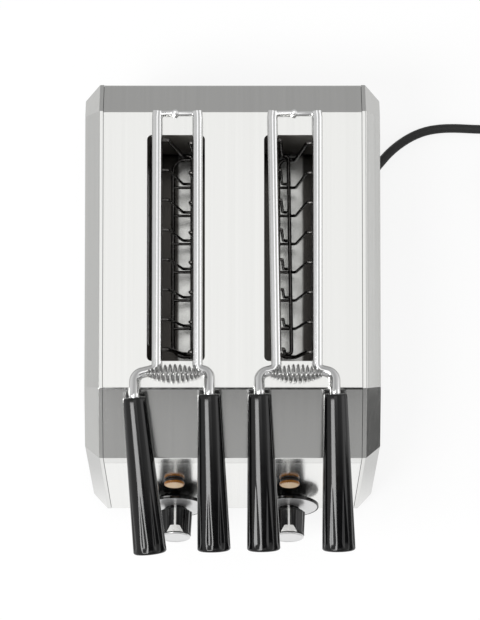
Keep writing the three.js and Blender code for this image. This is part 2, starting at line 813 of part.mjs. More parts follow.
const knobNames = ['left', 'right'];
knobCentres.forEach((x, i) => {
  const side = knobNames[i];
  const spot = new THREE.Group();
  spot.position.set(x, knobHeight, 0);
  panelFrame.add(spot);
  const shaftEnd = skirtGap + skirtThickness + shaftDepthInKnob - seam;
  add(`${side}_timer`, makeTimer(), blackPlastic(), spot);
  add(`${side}_timer_shaft`, rod(shaftRadius, -sheet - shaftDepthInTimer, shaftEnd, 12), brass(), spot);
  add(`${side}_knob_skirt`, makeSkirt(), blackPlastic(), spot);
  add(`${side}_dial_ring`, makeDialRing(), silverPaint(), spot);
  add(`${side}_knob_grip`, makeKnobGrip(), blackPlastic(), spot);
  add(`${side}_knob_cap`, makeKnobCap(), silverPaint(), spot);
  add(`${side}_knob_pointer`, makePointer(0), whitePaint(), spot);
  const lamp = add(`${side}_pilot_lamp`, makeLamp(), amber(), panelFrame);
  lamp.position.set(x, lampHeight, 0);
});

add('top_wrapper', makeTopWrapper(), steel());
add('left_cheek', makeCheek(-1), steel());
add('right_cheek', makeCheek(1), steel());
add('front_panel', makeFrontPanel(), steel(), panelFrame);
add('base_plate', makeBasePlate(), innerSteel());
Object.entries(footSpots).forEach(([name, [side, y]]) => {
  add(name, makeFoot(), rubber()).position.set(side * footX, y, 0);
});
add('front_bulkhead', makeBulkhead(frontBulkheadY - thinSheet, frontBulkheadY, false), innerSteel());
add('back_bulkhead', makeBulkhead(backBulkheadY, backBulkheadY + thinSheet, true), innerSteel());
add('left_chamber', makeChamber(slotCentres[0]), innerSteel());
add('right_chamber', makeChamber(slotCentres[1]), innerSteel());
Object.entries(heaterRows).forEach(([row, x]) => add(`${row}_heaters`, makeHeaters(x), quartz()));
add('left_reflector', makeReflector(outerReflectorOutline(heaterRows.left_outer, -1)), innerSteel());
add('centre_reflector', makeReflector(centreReflectorOutline()), innerSteel());
add('right_reflector', makeReflector(outerReflectorOutline(heaterRows.right_outer, 1)), innerSteel());
add('crumb_tray', makeCrumbTray(), innerSteel());

// Tongs
const barZ = caseTop + barSeat + barRadius;
const barBackY = slotBackY + hingeOverhang;
const bendY = slotFrontY - bendReach;
const springY = slotFrontY - springReach;
const springZ = barZ + jogRise + barRadius + springLift + springEndRadius + seam;
const gripZ = caseTop + gripHeight;
const gripY = slotFrontY - collarReach;

// Where a bar's axis lies across the slot at a given depth
function barX(centre, shares, y) {
  const share = (barBackY - y) / (barBackY - bendY);
  return centre + (shares.backShare + (shares.frontShare - shares.backShare) * share) * barSpacing;
}

// A flat tab with an eye for the pin, from the bar at x0 to the pin at x1
function makeTab(x0, x1, y, z0, z1) {
  const side = Math.sign(x1 - x0);
  const shape = new THREE.Shape();
  shape.moveTo(x0, y - tabHalfWidth);
  shape.lineTo(x1, y - eyeRadius);
  const turnStart = -Math.PI / 2;
  shape.absarc(x1, y, eyeRadius, turnStart, turnStart + Math.PI * side, side < 0);
  shape.lineTo(x0, y + tabHalfWidth);
  const bore = rod(pinRadius + seam, z0 - overrun, z1 + overrun, 14).translate(x1, y, 0);
  return cut(plate(shape, z0, z1, 8), bore);
}

// A bar lies along the slot, jogs outwards at the front and rises into its grip
function barRoute(centre, shares) {
  const frontX = centre + shares.frontShare * barSpacing;
  const handleX = centre + shares.handleShare * barSpacing;
  const jogY = bendY - Math.abs(handleX - frontX) * jogSlopeShare;
  const grip = gripAxis(centre, shares);
  return rounded([
    vec(barX(centre, shares, barBackY + barOverhang), barBackY + barOverhang, barZ),
    vec(frontX, bendY, barZ), vec(handleX, jogY, barZ + jogRise),
    vec().copy(grip.start).addScaledVector(grip.along, -collarStub),
    vec().copy(grip.start).addScaledVector(grip.along, gripBore - seam),
  ], [barBend, handleBend, collarBend], 4);
}

function makeBar(route, pinX, tabBottom) {
  const tab = makeTab(route[0].x, pinX, barBackY, tabBottom, tabBottom + tabThickness);
  return join(wire(route, barRadius, wireSides), tab);
}

function gripAxis(centre, shares) {
  const startX = centre + shares.handleShare * barSpacing;
  const start = vec(startX, gripY - shares.gripStartShare * barSpacing, gripZ);
  const dx = (shares.gripEndShare - shares.handleShare) * barSpacing;
  const dy = -Math.sqrt(gripLength ** 2 - dx ** 2 - gripDrop ** 2);
  return { start, along: vec(dx, dy, -gripDrop).normalize() };
}

function makeGrip(centre, shares) {
  const outline = [
    [0, gripBore], [barRadius + seam, gripBore], [barRadius + seam, 0], [gripNearRadius - gripEdge, 0],
    [gripNearRadius, gripEdge], [gripFarRadius, gripLength - gripEdge],
    [gripFarRadius - gripEdge, gripLength], [0, gripLength],
  ];
  const grip = gripAxis(centre, shares);
  const turn = new THREE.Quaternion().setFromUnitVectors(vec(0, 0, 1), grip.along);
  return turned(outline, 20).applyQuaternion(turn).translate(grip.start.x, grip.start.y, grip.start.z);
}

// A comb of wires: ribs down from the bar, a foot inwards and one frame wire round the lower edge
function makeCage(centre, barShares, cageShares, side, depth, offset) {
  const top = barZ - ribDropAtBar;
  const foot = caseTop - depth;
  const inward = -side;
  const flange = cageShares.flangeShare * barSpacing;
  const lean = cageShares.leanShare * barSpacing;
  const footLength = cageShares.footShare * barSpacing;
  const backRibY = slotBackY - cageBackGap - frameWireRadius - offset;
  const corners = (y) => {
    const x = barX(centre, barShares, y);
    return [
      vec(x + inward * (barRadius + seam), y, top),
      vec(x + inward * flange, y, top),
      vec(x + inward * (flange + lean), y, foot),
      vec(x + inward * (flange + lean + footLength), y, foot),
    ];
  };
  const back = corners(backRibY);
  const frontRibY = backRibY - ribPitch * (ribCount - 1);
  const front = corners(frontRibY);
  const cornerRadius = Math.min(cageCorner, footLength * endRoomShare);
  const frame = wire(rounded([...back, ...front.reverse()],
    [cageBend, cageBend, cornerRadius, cornerRadius, cageBend, cageBend]), frameWireRadius, 6);
  const ribs = [];
  for (let i = 1; i < ribCount - 1; i += 1) {
    ribs.push(wire(rounded(corners(backRibY - i * ribPitch), cageBend, 2), ribRadius, 5));
  }
  return join(frame, ...ribs);
}

// How high a bar's surface lies at a place, for something round that comes down on it
function restHeight(route, x, y, radius) {
  const spot = vec(x, y, 0);
  let nearest = Infinity;
  let height = 0;
  for (let i = 1; i < route.length; i += 1) {
    const line = new THREE.Line3(vec().copy(route[i - 1]).setZ(0), vec().copy(route[i]).setZ(0));
    const along = line.closestPointToPointParameter(spot, true);
    const distance = line.at(along, vec()).distanceTo(spot);
    if (distance < nearest) {
      nearest = distance;
      height = route[i - 1].z + (route[i].z - route[i - 1].z) * along;
    }
  }
  const off = Math.max(nearest - radius, 0);
  return height + Math.sqrt(Math.max(barRadius ** 2 - off ** 2, 0));
}

// The barrel spring's centre line: closer and narrower turns at its ends, each of which comes down on a bar
function springRoute(startX, endX, leftRoute, rightRoute) {
  const steps = 8;
  const centreX = (startX + endX) / 2;
  const half = (endX - startX - springWire) / 2;
  const count = (springTurns + 0.5) * steps;
  const coil = [];
  for (let i = 0; i <= count; i += 1) {
    const share = (2 * i) / count - 1;
    const x = centreX + half * ((1 + springPitchShare) * share - springPitchShare * share ** 3);
    const across = (x - centreX) / half;
    const radius = springEndRadius + (springMidRadius - springEndRadius) * (1 - across ** 2) - springWire / 2;
    const angle = -Math.PI / 2 + (i / steps) * Math.PI * 2;
    coil.push(vec(x, springY + radius * Math.sin(angle), springZ + radius * Math.cos(angle)));
  }
  const first = coil[0];
  const last = coil[coil.length - 1];
  const startZ = restHeight(leftRoute, first.x, first.y, springWire / 2) + seam;
  const endZ = restHeight(rightRoute, last.x, last.y, springWire / 2) + seam;
  return [vec(first.x, first.y, startZ), ...coil, vec(last.x, last.y, endZ)];
}

// The smallest clear distance between a tube's stretches that aren't neighbours along it
function leastGap(route, radius, apart) {
  let least = Infinity;
  for (let i = 0; i < route.length; i += 1) {
    for (let j = i + apart; j < route.length; j += 1) least = Math.min(least, route[i].distanceTo(route[j]));
  }
  return least - 2 * radius;
}

function makePin(x) {
  const low = caseTop + barSeat;
  const seat = low + pinHeadHeight;
  const high = seat + seam + 2 * tabThickness + seam * 2;
  return turned([
    [0, low], [pinHeadRadius, low], [pinHeadRadius, seat], [pinRadius, seat], [pinRadius, high],
    [pinHeadRadius, high], [pinHeadRadius, high + pinHeadHeight], [0, high + pinHeadHeight],
  ], 14).translate(x, barBackY, 0);
}

const tongs = { left_tong: [slotCentres[0], leftTongShares], right_tong: [slotCentres[1], rightTongShares] };
const lowTab = caseTop + barSeat + pinHeadHeight + seam;
const highTab = lowTab + tabThickness + seam;
Object.entries(tongs).forEach(([name, [centre, shares]]) => {
  const { leftBarShares, rightBarShares, leftCageShares, rightCageShares } = shares;
  const pinX = centre + shares.pinShare * barSpacing;
  const leftRoute = barRoute(centre, leftBarShares);
  const rightRoute = barRoute(centre, rightBarShares);
  const [springStart, springEnd] = shares.springShares.map((share) => centre + share * barSpacing);
  const spring = springRoute(springStart, springEnd, leftRoute, rightRoute);
  console.log(`${name}_spring least gap to itself ${leastGap(spring, springWire / 2, 5).toFixed(2)} mm`);
  add(`${name}_pin`, makePin(pinX), chrome());
  add(`${name}_spring`, wire(spring, springWire / 2, 5), chrome());
  add(`${name}_left_bar`, makeBar(leftRoute, pinX, highTab), chrome());
  add(`${name}_right_bar`, makeBar(rightRoute, pinX, lowTab), chrome());
  add(`${name}_left_cage`, makeCage(centre, leftBarShares, leftCageShares, -1, leftCageDepth, 0),
    cageWire());
  add(`${name}_right_cage`, makeCage(centre, rightBarShares, rightCageShares, 1, rightCageDepth, ribOffset),
    cageWire());
  add(`${name}_left_grip`, makeGrip(centre, leftBarShares), blackPlastic());
  add(`${name}_right_grip`, makeGrip(centre, rightBarShares), blackPlastic());
});

// Terminal block and mains lead
function makeTerminalBlock() {
  const bottom = footHeight + seam + sheet + seam;
  const half = terminalWidth / 2;
  const far = glandSpot.y - glandPostRadius - seam - terminalGap;
  const body = block(glandSpot.x - half, glandSpot.x + half, far - terminalLength, far,
    bottom, bottom + terminalHeight);
  const pitch = terminalLength / 3;
  const wells = [0.5, 1.5, 2.5].map((count) => (
    rod(terminalScrewRadius, bottom + terminalHeight / 2, bottom + terminalHeight + overrun, 8)
      .translate(glandSpot.x, far - count * pitch, 0)));
  return cut(body, ...wells);
}

const glandZ = cordRadius + seam;
const leadDirection = vec(Math.cos(glandSpot.angle), Math.sin(glandSpot.angle), 0);

function makeGland() {
  const post = rod(glandPostRadius, 0, footHeight + seam + sheet + glandPostTop, 20);
  const from = vec(0, 0, glandRadius);
  const to = vec().copy(leadDirection).multiplyScalar(glandLength).setZ(glandZ + seam);
  return join(post.translate(0, 0, seam), strut(from, to, glandRadius - seam, glandTipRadius - seam, 16));
}

const leadStart = vec(glandSpot.x, glandSpot.y, glandZ)
  .addScaledVector(leadDirection, glandLength + 2 * seam);
const leadPoints = [leadStart, ...leadShares.map(([x, y], i) => (
  vec(glandSpot.x + x * leadRun, glandSpot.y + y * leadRun, i < 2 ? glandZ : cordRadius)))];

// The coil winds in on the table, climbs where it turns back and winds out again on top
function coilRoute(start) {
  const steps = 24;
  const climb = steps / 2;
  const layer = coilTurnsInLayer * steps;
  const last = 2 * layer + climb;
  const outer = coilRadius + (coilTurnsInLayer * coilPitch) / 2;
  const centre = vec(start.x + 2 * cordRadius, start.y - outer, 0);
  const route = [];
  for (let i = 0; i <= last; i += 1) {
    const radius = outer - (Math.min(i, last - i) / steps) * coilPitch;
    const rise = THREE.MathUtils.clamp((i - layer) / climb, 0, 1);
    const angle = Math.PI / 2 - (i / steps) * Math.PI * 2;
    route.push(vec(centre.x + radius * Math.cos(angle), centre.y + radius * Math.sin(angle),
      cordRadius + rise * coilLayerRise));
  }
  const end = route[last];
  const way = vec().subVectors(end, route[last - 1]).setZ(0).normalize();
  const tailRises = [0, (plugRadius - end.z) * 0.5, plugRadius - end.z, plugRadius - end.z];
  tailRises.forEach((rise, i) => {
    route.push(vec().copy(end).addScaledVector(way, ((i + 1) / tailRises.length) * coilTail)
      .add(vec(0, 0, rise)));
  });
  return [vec().copy(start).setZ(cordRadius), ...route];
}

function makePlug() {
  return turned([
    [0, 0], [plugNeckRadius - gripEdge, 0], [plugNeckRadius, gripEdge],
    [plugNeckRadius + gripEdge, plugNeckLength], [plugRadius, plugNeckLength + gripEdge * 2],
    [plugRadius, plugNeckLength + plugLength], [0, plugNeckLength + plugLength],
  ], 24);
}

// Both pins stand on the carrier that closes the plug's face
function makePlugPins() {
  const base = plugNeckLength + plugLength + seam;
  const pins = [-1, 1].map((side) => (
    rod(plugPinRadius, base, base + plugPinLength, 10).translate((side * plugPinPitch) / 2, 0, 0)));
  return join(rod(plugCarrierRadius, base, base + plugCarrierThickness, 20), ...pins);
}

add('terminal_block', makeTerminalBlock(), ceramic());
const gland = add('cord_strain_relief', makeGland(), rubber());
gland.position.set(glandSpot.x, glandSpot.y, 0);
const leadEnd = leadPoints[leadPoints.length - 1];
const coil = coilRoute(vec(leadEnd.x + seam, leadEnd.y, leadEnd.z));
console.log(`cord_coil least gap to itself ${leastGap(coil, cordRadius, 12).toFixed(2)} mm`);
cordNodes.push(add('cord', wire(leadPoints, cordRadius, 10), rubber()));
cordNodes.push(add('cord_coil', wire(coil, cordRadius, 6), rubber()));

const coilEnd = coil[coil.length - 1];
const coilWay = vec().subVectors(coilEnd, coil[coil.length - 2]).normalize();
const plugTurn = new THREE.Quaternion().setFromUnitVectors(vec(0, 0, 1), coilWay);
const plugPieces = [['plug', makePlug(), rubber()], ['plug_pins', makePlugPins(), chrome()]];
plugPieces.forEach(([name, geometry, material]) => {
  const mesh = add(name, geometry, material);
  mesh.quaternion.copy(plugTurn);
  mesh.position.copy(coilEnd).addScaledVector(coilWay, seam);
  cordNodes.push(mesh);
});

// The origin is the middle of the toaster's footprint, on the table, and the free lead isn't counted
model.updateMatrixWorld(true);
const bounds = new THREE.Box3();
model.traverse((item) => {
  if (item.isMesh && !cordNodes.includes(item)) bounds.expandByObject(item, true);
});
const middle = bounds.getCenter(vec());
model.position.set(-middle.x, -middle.y, -bounds.min.z);

export default model;
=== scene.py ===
# Sandwich toaster with two wire tongs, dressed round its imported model. Metres, +Z up, controls towards -Y.
import math

import bmesh
import bpy
from mathutils import Matrix, Vector


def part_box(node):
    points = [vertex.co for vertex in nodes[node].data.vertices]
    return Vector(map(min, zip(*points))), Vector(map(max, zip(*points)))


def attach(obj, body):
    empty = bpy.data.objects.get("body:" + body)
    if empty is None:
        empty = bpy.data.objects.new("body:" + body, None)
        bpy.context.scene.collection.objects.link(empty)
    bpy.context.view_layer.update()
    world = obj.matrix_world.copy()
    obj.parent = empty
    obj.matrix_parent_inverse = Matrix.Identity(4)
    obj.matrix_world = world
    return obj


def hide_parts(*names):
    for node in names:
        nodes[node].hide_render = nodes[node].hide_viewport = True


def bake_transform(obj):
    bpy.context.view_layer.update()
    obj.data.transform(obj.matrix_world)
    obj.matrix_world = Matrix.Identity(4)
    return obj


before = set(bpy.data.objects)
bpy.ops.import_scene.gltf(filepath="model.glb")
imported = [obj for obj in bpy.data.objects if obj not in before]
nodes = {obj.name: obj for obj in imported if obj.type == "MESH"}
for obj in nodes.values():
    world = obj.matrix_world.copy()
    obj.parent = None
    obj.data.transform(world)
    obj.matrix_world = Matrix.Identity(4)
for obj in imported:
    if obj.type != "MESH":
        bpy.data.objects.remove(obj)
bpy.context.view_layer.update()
rowShift = 0.009968  # the model's origin lies this far in front of the case's own middle
mm = 0.001


def leaveEditing():
    bpy.ops.object.mode_set(mode="OBJECT")


def activate(piece):
    if bpy.context.object and bpy.context.object.mode != "OBJECT":
        leaveEditing()
    bpy.ops.object.select_all(action="DESELECT")
    piece.select_set(True)
    bpy.context.view_layer.objects.active = piece
    return piece


# Camera: nearly straight down, a little from the front
camera = {"lens": 124.08, "tilt": 3.0, "place": (0, -0.1161, 1.97645), "shiftX": 0.0119, "shiftY": 0.0371}
bpy.ops.object.camera_add(location=camera["place"], rotation=(math.radians(camera["tilt"]), 0, 0))
sceneCamera = bpy.context.object
sceneCamera.name = "scene_camera"
sceneCamera.data.lens = camera["lens"]
sceneCamera.data.shift_x = camera["shiftX"]
sceneCamera.data.shift_y = camera["shiftY"]
bpy.context.scene.camera = sceneCamera
print("camera placed")


# Materials
def linear(hexColour):
    channels = [int(hexColour[i:i + 2], 16) / 255 for i in (0, 2, 4)]
    return [c / 12.92 if c <= 0.04045 else ((c + 0.055) / 1.055) ** 2.4 for c in channels] + [1.0]


def surfaceOf(material):
    return material.node_tree.nodes["Principled BSDF"]


def newMaterial(name, colour, roughness, metallic=0.0, **sockets):
    material = bpy.data.materials.new(name)
    material.use_nodes = True
    surface = surfaceOf(material)
    surface.inputs["Base Color"].default_value = linear(colour)
    surface.inputs["Roughness"].default_value = roughness
    surface.inputs["Metallic"].default_value = metallic
    for socket, value in sockets.items():
        surface.inputs[socket].default_value = value
    return material


def addNode(owner, kind, **settings):
    # owner is a material or the world; a setting names one of the node's inputs or one of its own values
    node = owner.node_tree.nodes.new(f"ShaderNode{kind}")
    for name, value in settings.items():
        if name in node.inputs:
            node.inputs[name].default_value = value
        else:
            setattr(node, name, value)
    return node


def feed(owner, value, socket):
    # value is another node's output, or a plain number or colour
    if isinstance(value, bpy.types.NodeSocket):
        owner.node_tree.links.new(value, socket)
    else:
        socket.default_value = value


def calculate(owner, operation, *values):
    node = addNode(owner, "Math", operation=operation)
    for value, socket in zip(values, node.inputs):
        feed(owner, value, socket)
    return node.outputs[0]


def axisOf(owner, axis, source="TexCoord", output="Object"):
    # one axis of a place or of a direction
    axes = addNode(owner, "SeparateXYZ")
    feed(owner, addNode(owner, source).outputs[output], axes.inputs[0])
    return axes.outputs[axis]


def noiseOn(material, scale, detail, stretch=(1, 1, 1)):
    mapping = addNode(material, "Mapping", Scale=stretch)
    noise = addNode(material, "TexNoise", Scale=scale, Detail=detail)
    feed(material, addNode(material, "TexCoord").outputs["Object"], mapping.inputs["Vector"])
    feed(material, mapping.outputs["Vector"], noise.inputs["Vector"])
    return noise.outputs["Fac"]


def ramp(owner, value, low, high, start=0.3, end=0.7):
    mapRange = addNode(owner, "MapRange")
    for number, socket in zip((value, start, end, low, high), mapRange.inputs):
        feed(owner, number, socket)
    return mapRange.outputs["Result"]


def varyRoughness(material, value, low, high):
    feed(material, ramp(material, value, low, high), surfaceOf(material).inputs["Roughness"])


def mixColour(material, share, dark, light):
    # a Mix node's colour sockets share their names with others, so they are picked by their place
    mix = addNode(material, "Mix", data_type="RGBA")
    for value, socket in ((share, mix.inputs[0]), (dark, mix.inputs[6]), (light, mix.inputs[7])):
        feed(material, value, socket)
    feed(material, mix.outputs[2], surfaceOf(material).inputs["Base Color"])


def varyColour(material, value, dark, light):
    mixColour(material, ramp(material, value, 0, 1), linear(dark), linear(light))


def addBump(material, value, depth, strength=1.0):
    bump = addNode(material, "Bump", Strength=strength, Distance=depth)
    feed(material, value, bump.inputs["Height"])
    feed(material, bump.outputs["Normal"], surfaceOf(material).inputs["Normal"])


# the grain of brushed sheet: how fine each noise is across the brushing and along it, and its detail
brushing = {"fine": (6500, 8, 2), "broad": (420, 2, 3), "smoother": 0.02, "rougher": 0.03}


def brushedSteel(name, dark, light, grain, roughness, depth):
    material = newMaterial(name, light, roughness, metallic=1.0)
    fine, broad = (noiseOn(material, 1, detail, [g * across if g else along for g in grain])
                   for across, along, detail in (brushing["fine"], brushing["broad"]))
    varyRoughness(material, broad, roughness - brushing["smoother"], roughness + brushing["rougher"])
    varyColour(material, broad, dark, light)
    addBump(material, fine, depth)
    return material


def plainFinish(name, colour, roughness, metallic=0.0, tint=None, polish=None, texture=None, **sockets):
    # each pattern starts with its noise's scale and detail; then a tint has its dark and light colour,
    # a polish its least and most roughness, and a texture its depth and strength
    material = newMaterial(name, colour, roughness, metallic, **sockets)
    if tint:
        varyColour(material, noiseOn(material, *tint[:2]), *tint[2:])
    if polish:
        varyRoughness(material, noiseOn(material, *polish[:2]), *polish[2:])
    if texture:
        addBump(material, noiseOn(material, *texture[:2]), *texture[2:])
    return material


steelTop = brushedSteel("brushed_steel_top", "dededc", "e2e2e0", (1, 0, 0), 0.13, 0.000012)
steelCheek = brushedSteel("brushed_steel_cheek", "dededc", "e2e2e0", (0.6, 0, 0.8), 0.14, 0.000012)
steelPanel = brushedSteel("brushed_steel_panel", "ededeb", "f0f0ee", (1, 0, 0), 0.17, 0.000004)

# the tongues of the cheeks lie in the shadow of the seam, which is this far from the middle
seam = {"limit": 0.1109, "blur": 0.00005, "shadow": "1c1c1c"}
cheekColour = surfaceOf(steelCheek).inputs["Base Color"].links[0].from_socket
cheekAway = calculate(steelCheek, "ABSOLUTE", axisOf(steelCheek, "X"))
cheekShare = ramp(steelCheek, cheekAway, 0, 1, seam["limit"], seam["limit"] + seam["blur"])
mixColour(steelCheek, cheekShare, linear(seam["shadow"]), cheekColour)

# the tray's colour is painted dark as shade, apart from one painted pool of light (middle, half width) below
# each slot, and its lip at the back, which is painted bright
traySteel = plainFinish("tray_steel", "d6d6d4", 0.2, 1.0, polish=(90, 3, 0.16, 0.26))
trayLightAndShade = {"bands": ((-0.0415, 0.0065), (0.054, 0.0088)), "soft": 0.0026, "wobble": 0.002, "noise": (30, 3),
             "lip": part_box("crumb_tray")[1].y - 0.017, "lipEdge": 0.001, "dark": "4c4a47", "bright": "d0d0cd"}
# this noise makes the edges of the painted pools of light ragged
lightPoolNoise = noiseOn(traySteel, *trayLightAndShade["noise"])
trayLitShare = ramp(traySteel, axisOf(traySteel, "Y"), 0, 1, trayLightAndShade["lip"],
                  trayLightAndShade["lip"] + trayLightAndShade["lipEdge"])
# each band is a painted pool of the light that falls through a slot onto the tray
for centre, half in trayLightAndShade["bands"]:
    away = calculate(traySteel, "ABSOLUTE", calculate(traySteel, "SUBTRACT", axisOf(traySteel, "X"), centre))
    ragged = calculate(traySteel, "MULTIPLY_ADD", lightPoolNoise, trayLightAndShade["wobble"], away)
    band = ramp(traySteel, ragged, 1, 0, half, half + 2 * trayLightAndShade["soft"])
    trayLitShare = calculate(traySteel, "MAXIMUM", trayLitShare, band)
# the tray's colour runs from painted shade to painted light
varyColour(traySteel, trayLitShare, trayLightAndShade["dark"], trayLightAndShade["bright"])

chamberSteel = plainFinish("heat_tinted_steel", "4a4845", 0.6, tint=(9, 6, "7c7974", "94918c"),
                           polish=(50, 3, 0.52, 0.66), **{"Specular IOR Level": 0.15})
windingWire = plainFinish("winding_wire", "6a635c", 0.5, 1.0, tint=(200, 3, "4d4742", "7c746b"))
innerSteel = plainFinish("inner_steel", "8f8f8d", 0.42, 1.0, tint=(14, 5, "6f6d69", "9c9b98"),
                         polish=(60, 3, 0.34, 0.5))
reflectorMetal = plainFinish("reflector_aluminium", "d2d2d2", 0.22, 1.0, polish=(40, 4, 0.18, 0.32))
chrome = plainFinish("chrome", "f0f0f0", 0.17, 1.0, polish=(400, 3, 0.15, 0.2))
springSteel = plainFinish("spring_steel", "b4b4b3", 0.14, 1.0, polish=(400, 3, 0.12, 0.18))
cageWire = plainFinish("heat_darkened_wire", "6a6866", 0.22, 1.0, tint=(160, 5, "4a4846", "7a7876"),
                       polish=(300, 3, 0.16, 0.3))
blackPlastic = plainFinish("gloss_black_plastic", "080809", 0.13, polish=(90, 5, 0.11, 0.16))
timerPlastic = plainFinish("timer_plastic", "1c1c1d", 0.5, texture=(1500, 2, 0.00003, 0.4))
rubber = plainFinish("black_rubber", "262626", 0.55, polish=(60, 4, 0.48, 0.62),
                     texture=(1800, 3, 0.00003, 0.4))
silverPaint = plainFinish("silver_dial", "e2e2e2", 0.3, 0.7, texture=(1200, 2, 0.00001, 0.3))
whitePaint = plainFinish("white_pointer", "f4f4f2", 0.4, texture=(900, 2, 0.00001, 0.2))
amber = plainFinish("amber_lens", "e7b590", 0.14, texture=(500, 2, 0.00001, 0.2))
lensFace = addNode(amber, "Attribute", attribute_name="lens_face")
varyColour(amber, lensFace.outputs["Fac"], "9a5f10", "ffe2bf")
quartz = plainFinish("quartz_glass", "efece6", 0.08, texture=(300, 2, 0.00001, 0.2))
ceramic = plainFinish("ceramic", "e4dfd2", 0.75, texture=(900, 4, 0.00004, 0.5))
brass = plainFinish("brass", "c8a24a", 0.28, 1.0, polish=(400, 3, 0.2, 0.36))
print("materials made")


# Making pieces
def addPiece(name, data):
    piece = bpy.data.objects.new(name, data)
    bpy.context.scene.collection.objects.link(piece)
    return activate(piece)


def newPiece(name, points, edges=(), faces=()):
    data = bpy.data.meshes.new(name)
    data.from_pydata(points, edges, faces)
    return addPiece(name, data)


def editWhole(piece):
    activate(piece)
    bpy.ops.object.mode_set(mode="EDIT")
    bpy.ops.mesh.select_all(action="SELECT")


# an arc takes up at most these shares of the stretches beside it, and a corner this nearly straight gets none
arcRules = {"endShare": 0.95, "middleShare": 0.5, "straight": 89.5}


def roundedRoute(points, radii, steps=6):
    # every inner corner of a route becomes an arc
    points = [Vector(p) for p in points]
    route = [points[0]]
    for i in range(1, len(points) - 1):
        radius = radii[i - 1] if isinstance(radii, (list, tuple)) else radii
        back, ahead = points[i - 1] - points[i], points[i + 1] - points[i]
        backRoom = back.length * arcRules["endShare" if i == 1 else "middleShare"]
        aheadRoom = ahead.length * arcRules["endShare" if i == len(points) - 2 else "middleShare"]
        back.normalize()
        ahead.normalize()
        half = back.angle(ahead) / 2
        if radius <= 0 or half > math.radians(arcRules["straight"]):
            route.append(points[i])
            continue
        reach = min(radius / math.tan(half), backRoom, aheadRoom)
        centre = points[i] + (back + ahead).normalized() * (reach * math.tan(half) / math.sin(half))
        start, end = points[i] + back * reach - centre, points[i] + ahead * reach - centre
        sweep = start.angle(end)
        for step in range(steps + 1):
            share = step / steps
            route.append(centre + start * (math.sin((1 - share) * sweep) / math.sin(sweep))
                         + end * (math.sin(share * sweep) / math.sin(sweep)))
    route.append(points[-1])
    return route


def smoothRoute(points, parts):
    # a curve through every point of a given route
    points = [Vector(p) for p in points]
    route = []
    for i in range(len(points) - 1):
        before, after = points[max(i - 1, 0)], points[min(i + 2, len(points) - 1)]
        p, q = points[i], points[i + 1]
        for step in range(parts):
            t = step / parts
            route.append(0.5 * (2 * p + (q - before) * t + (2 * before - 5 * p + 4 * q - after) * t ** 2
                                + (3 * p - before - 3 * q + after) * t ** 3))
    return route + [points[-1]]


def wireCurve(name, routes, radius, sides=16):
    # routes are (points, wire radius) pairs, and radius is the thickest of them
    curve = bpy.data.curves.new(name, "CURVE")
    curve.dimensions = "3D"
    for points, wireRadius in routes:
        spline = curve.splines.new("POLY")
        spline.points.add(len(points) - 1)
        for spot, point in zip(spline.points, points):
            spot.co = (*point, 1)
            spot.radius = wireRadius / radius
    curve.bevel_depth = radius
    # a round bevel has four sides, and two more for each step of its resolution
    curve.bevel_resolution = sides // 2 - 2
    curve.use_fill_caps = True
    return addPiece(name, curve)


def wirePiece(name, routes, radius, sides=16):
    piece = wireCurve(name, routes, radius, sides)
    bpy.ops.object.convert(target="MESH")
    tidyMesh(piece)
    return piece


def tidyMesh(piece, distance=0.000005):
    editWhole(piece)
    bpy.ops.mesh.remove_doubles(threshold=distance)
    bpy.ops.mesh.normals_make_consistent(inside=False)
    leaveEditing()


def turnedPiece(name, profile, sides=64, place=None, closed=False):
    # a profile of (radius, height) points is spun round its own axis
    count = len(profile)
    edges = [(i, (i + 1) % count) for i in range(count if closed else count - 1)]
    piece = newPiece(name, [(radius, 0, height) for radius, height in profile], edges)
    editWhole(piece)
    bpy.ops.mesh.spin(steps=sides, angle=math.tau, center=(0, 0, 0), axis=(0, 0, 1))
    leaveEditing()
    tidyMesh(piece)
    if place:
        piece.data.transform(place)
    return piece


def softProfile(points, radii, steps=4):
    return [(p.x, p.z) for p in roundedRoute([(r, 0, h) for r, h in points], radii, steps)]


def softPiece(name, form, place=None, closed=False):
    # a turned piece whose form gives its profile, the rounding of each inner point and its sides
    profile = softProfile(form["profile"], form["round"], form.get("steps", 3))
    return turnedPiece(name, profile[:-1] if closed else profile, form["sides"], place, closed)


def ringForm(inner, outer, low, high, rounds, sides):
    # a ring whose section is a rectangle with three of its corners rounded off
    corners = [(inner, low), (outer, low), (outer, high), (inner, high), (inner, low)]
    return {"profile": corners, "round": rounds, "sides": sides}


def aroundAxis(piece):
    for vertex in piece.data.vertices:
        yield vertex, math.hypot(vertex.co.x, vertex.co.y), math.atan2(vertex.co.y, vertex.co.x)


def pressIn(vertex, radius, depth):
    share = 1 - depth / radius
    vertex.co.x *= share
    vertex.co.y *= share


def platePiece(name, outline, low, high, rim=0.0):
    # a flat outline, extruded upwards, with its edges rounded off
    piece = newPiece(name, [(x, y, low) for x, y in outline], faces=[tuple(range(len(outline)))])
    editWhole(piece)
    bpy.ops.mesh.extrude_region_move(TRANSFORM_OT_translate={"value": (0, 0, high - low)})
    leaveEditing()
    tidyMesh(piece)
    if rim:
        addBevel(piece, rim)
    return piece


def applyModifier(piece, kind, **settings):
    activate(piece)
    modifier = piece.modifiers.new(kind.lower(), kind)
    for name, value in settings.items():
        setattr(modifier, name, value)
    bpy.ops.object.modifier_apply(modifier=modifier.name)


def addBevel(piece, width, segments=2, angle=30):
    applyModifier(piece, "BEVEL", width=width, segments=segments, limit_method="ANGLE",
                  angle_limit=math.radians(angle), use_clamp_overlap=True)


# the long edges that turn by less than a right angle are a sheet's folds
foldRules = {"length": 0.08, "least": 8, "most": 70, "segments": 5}


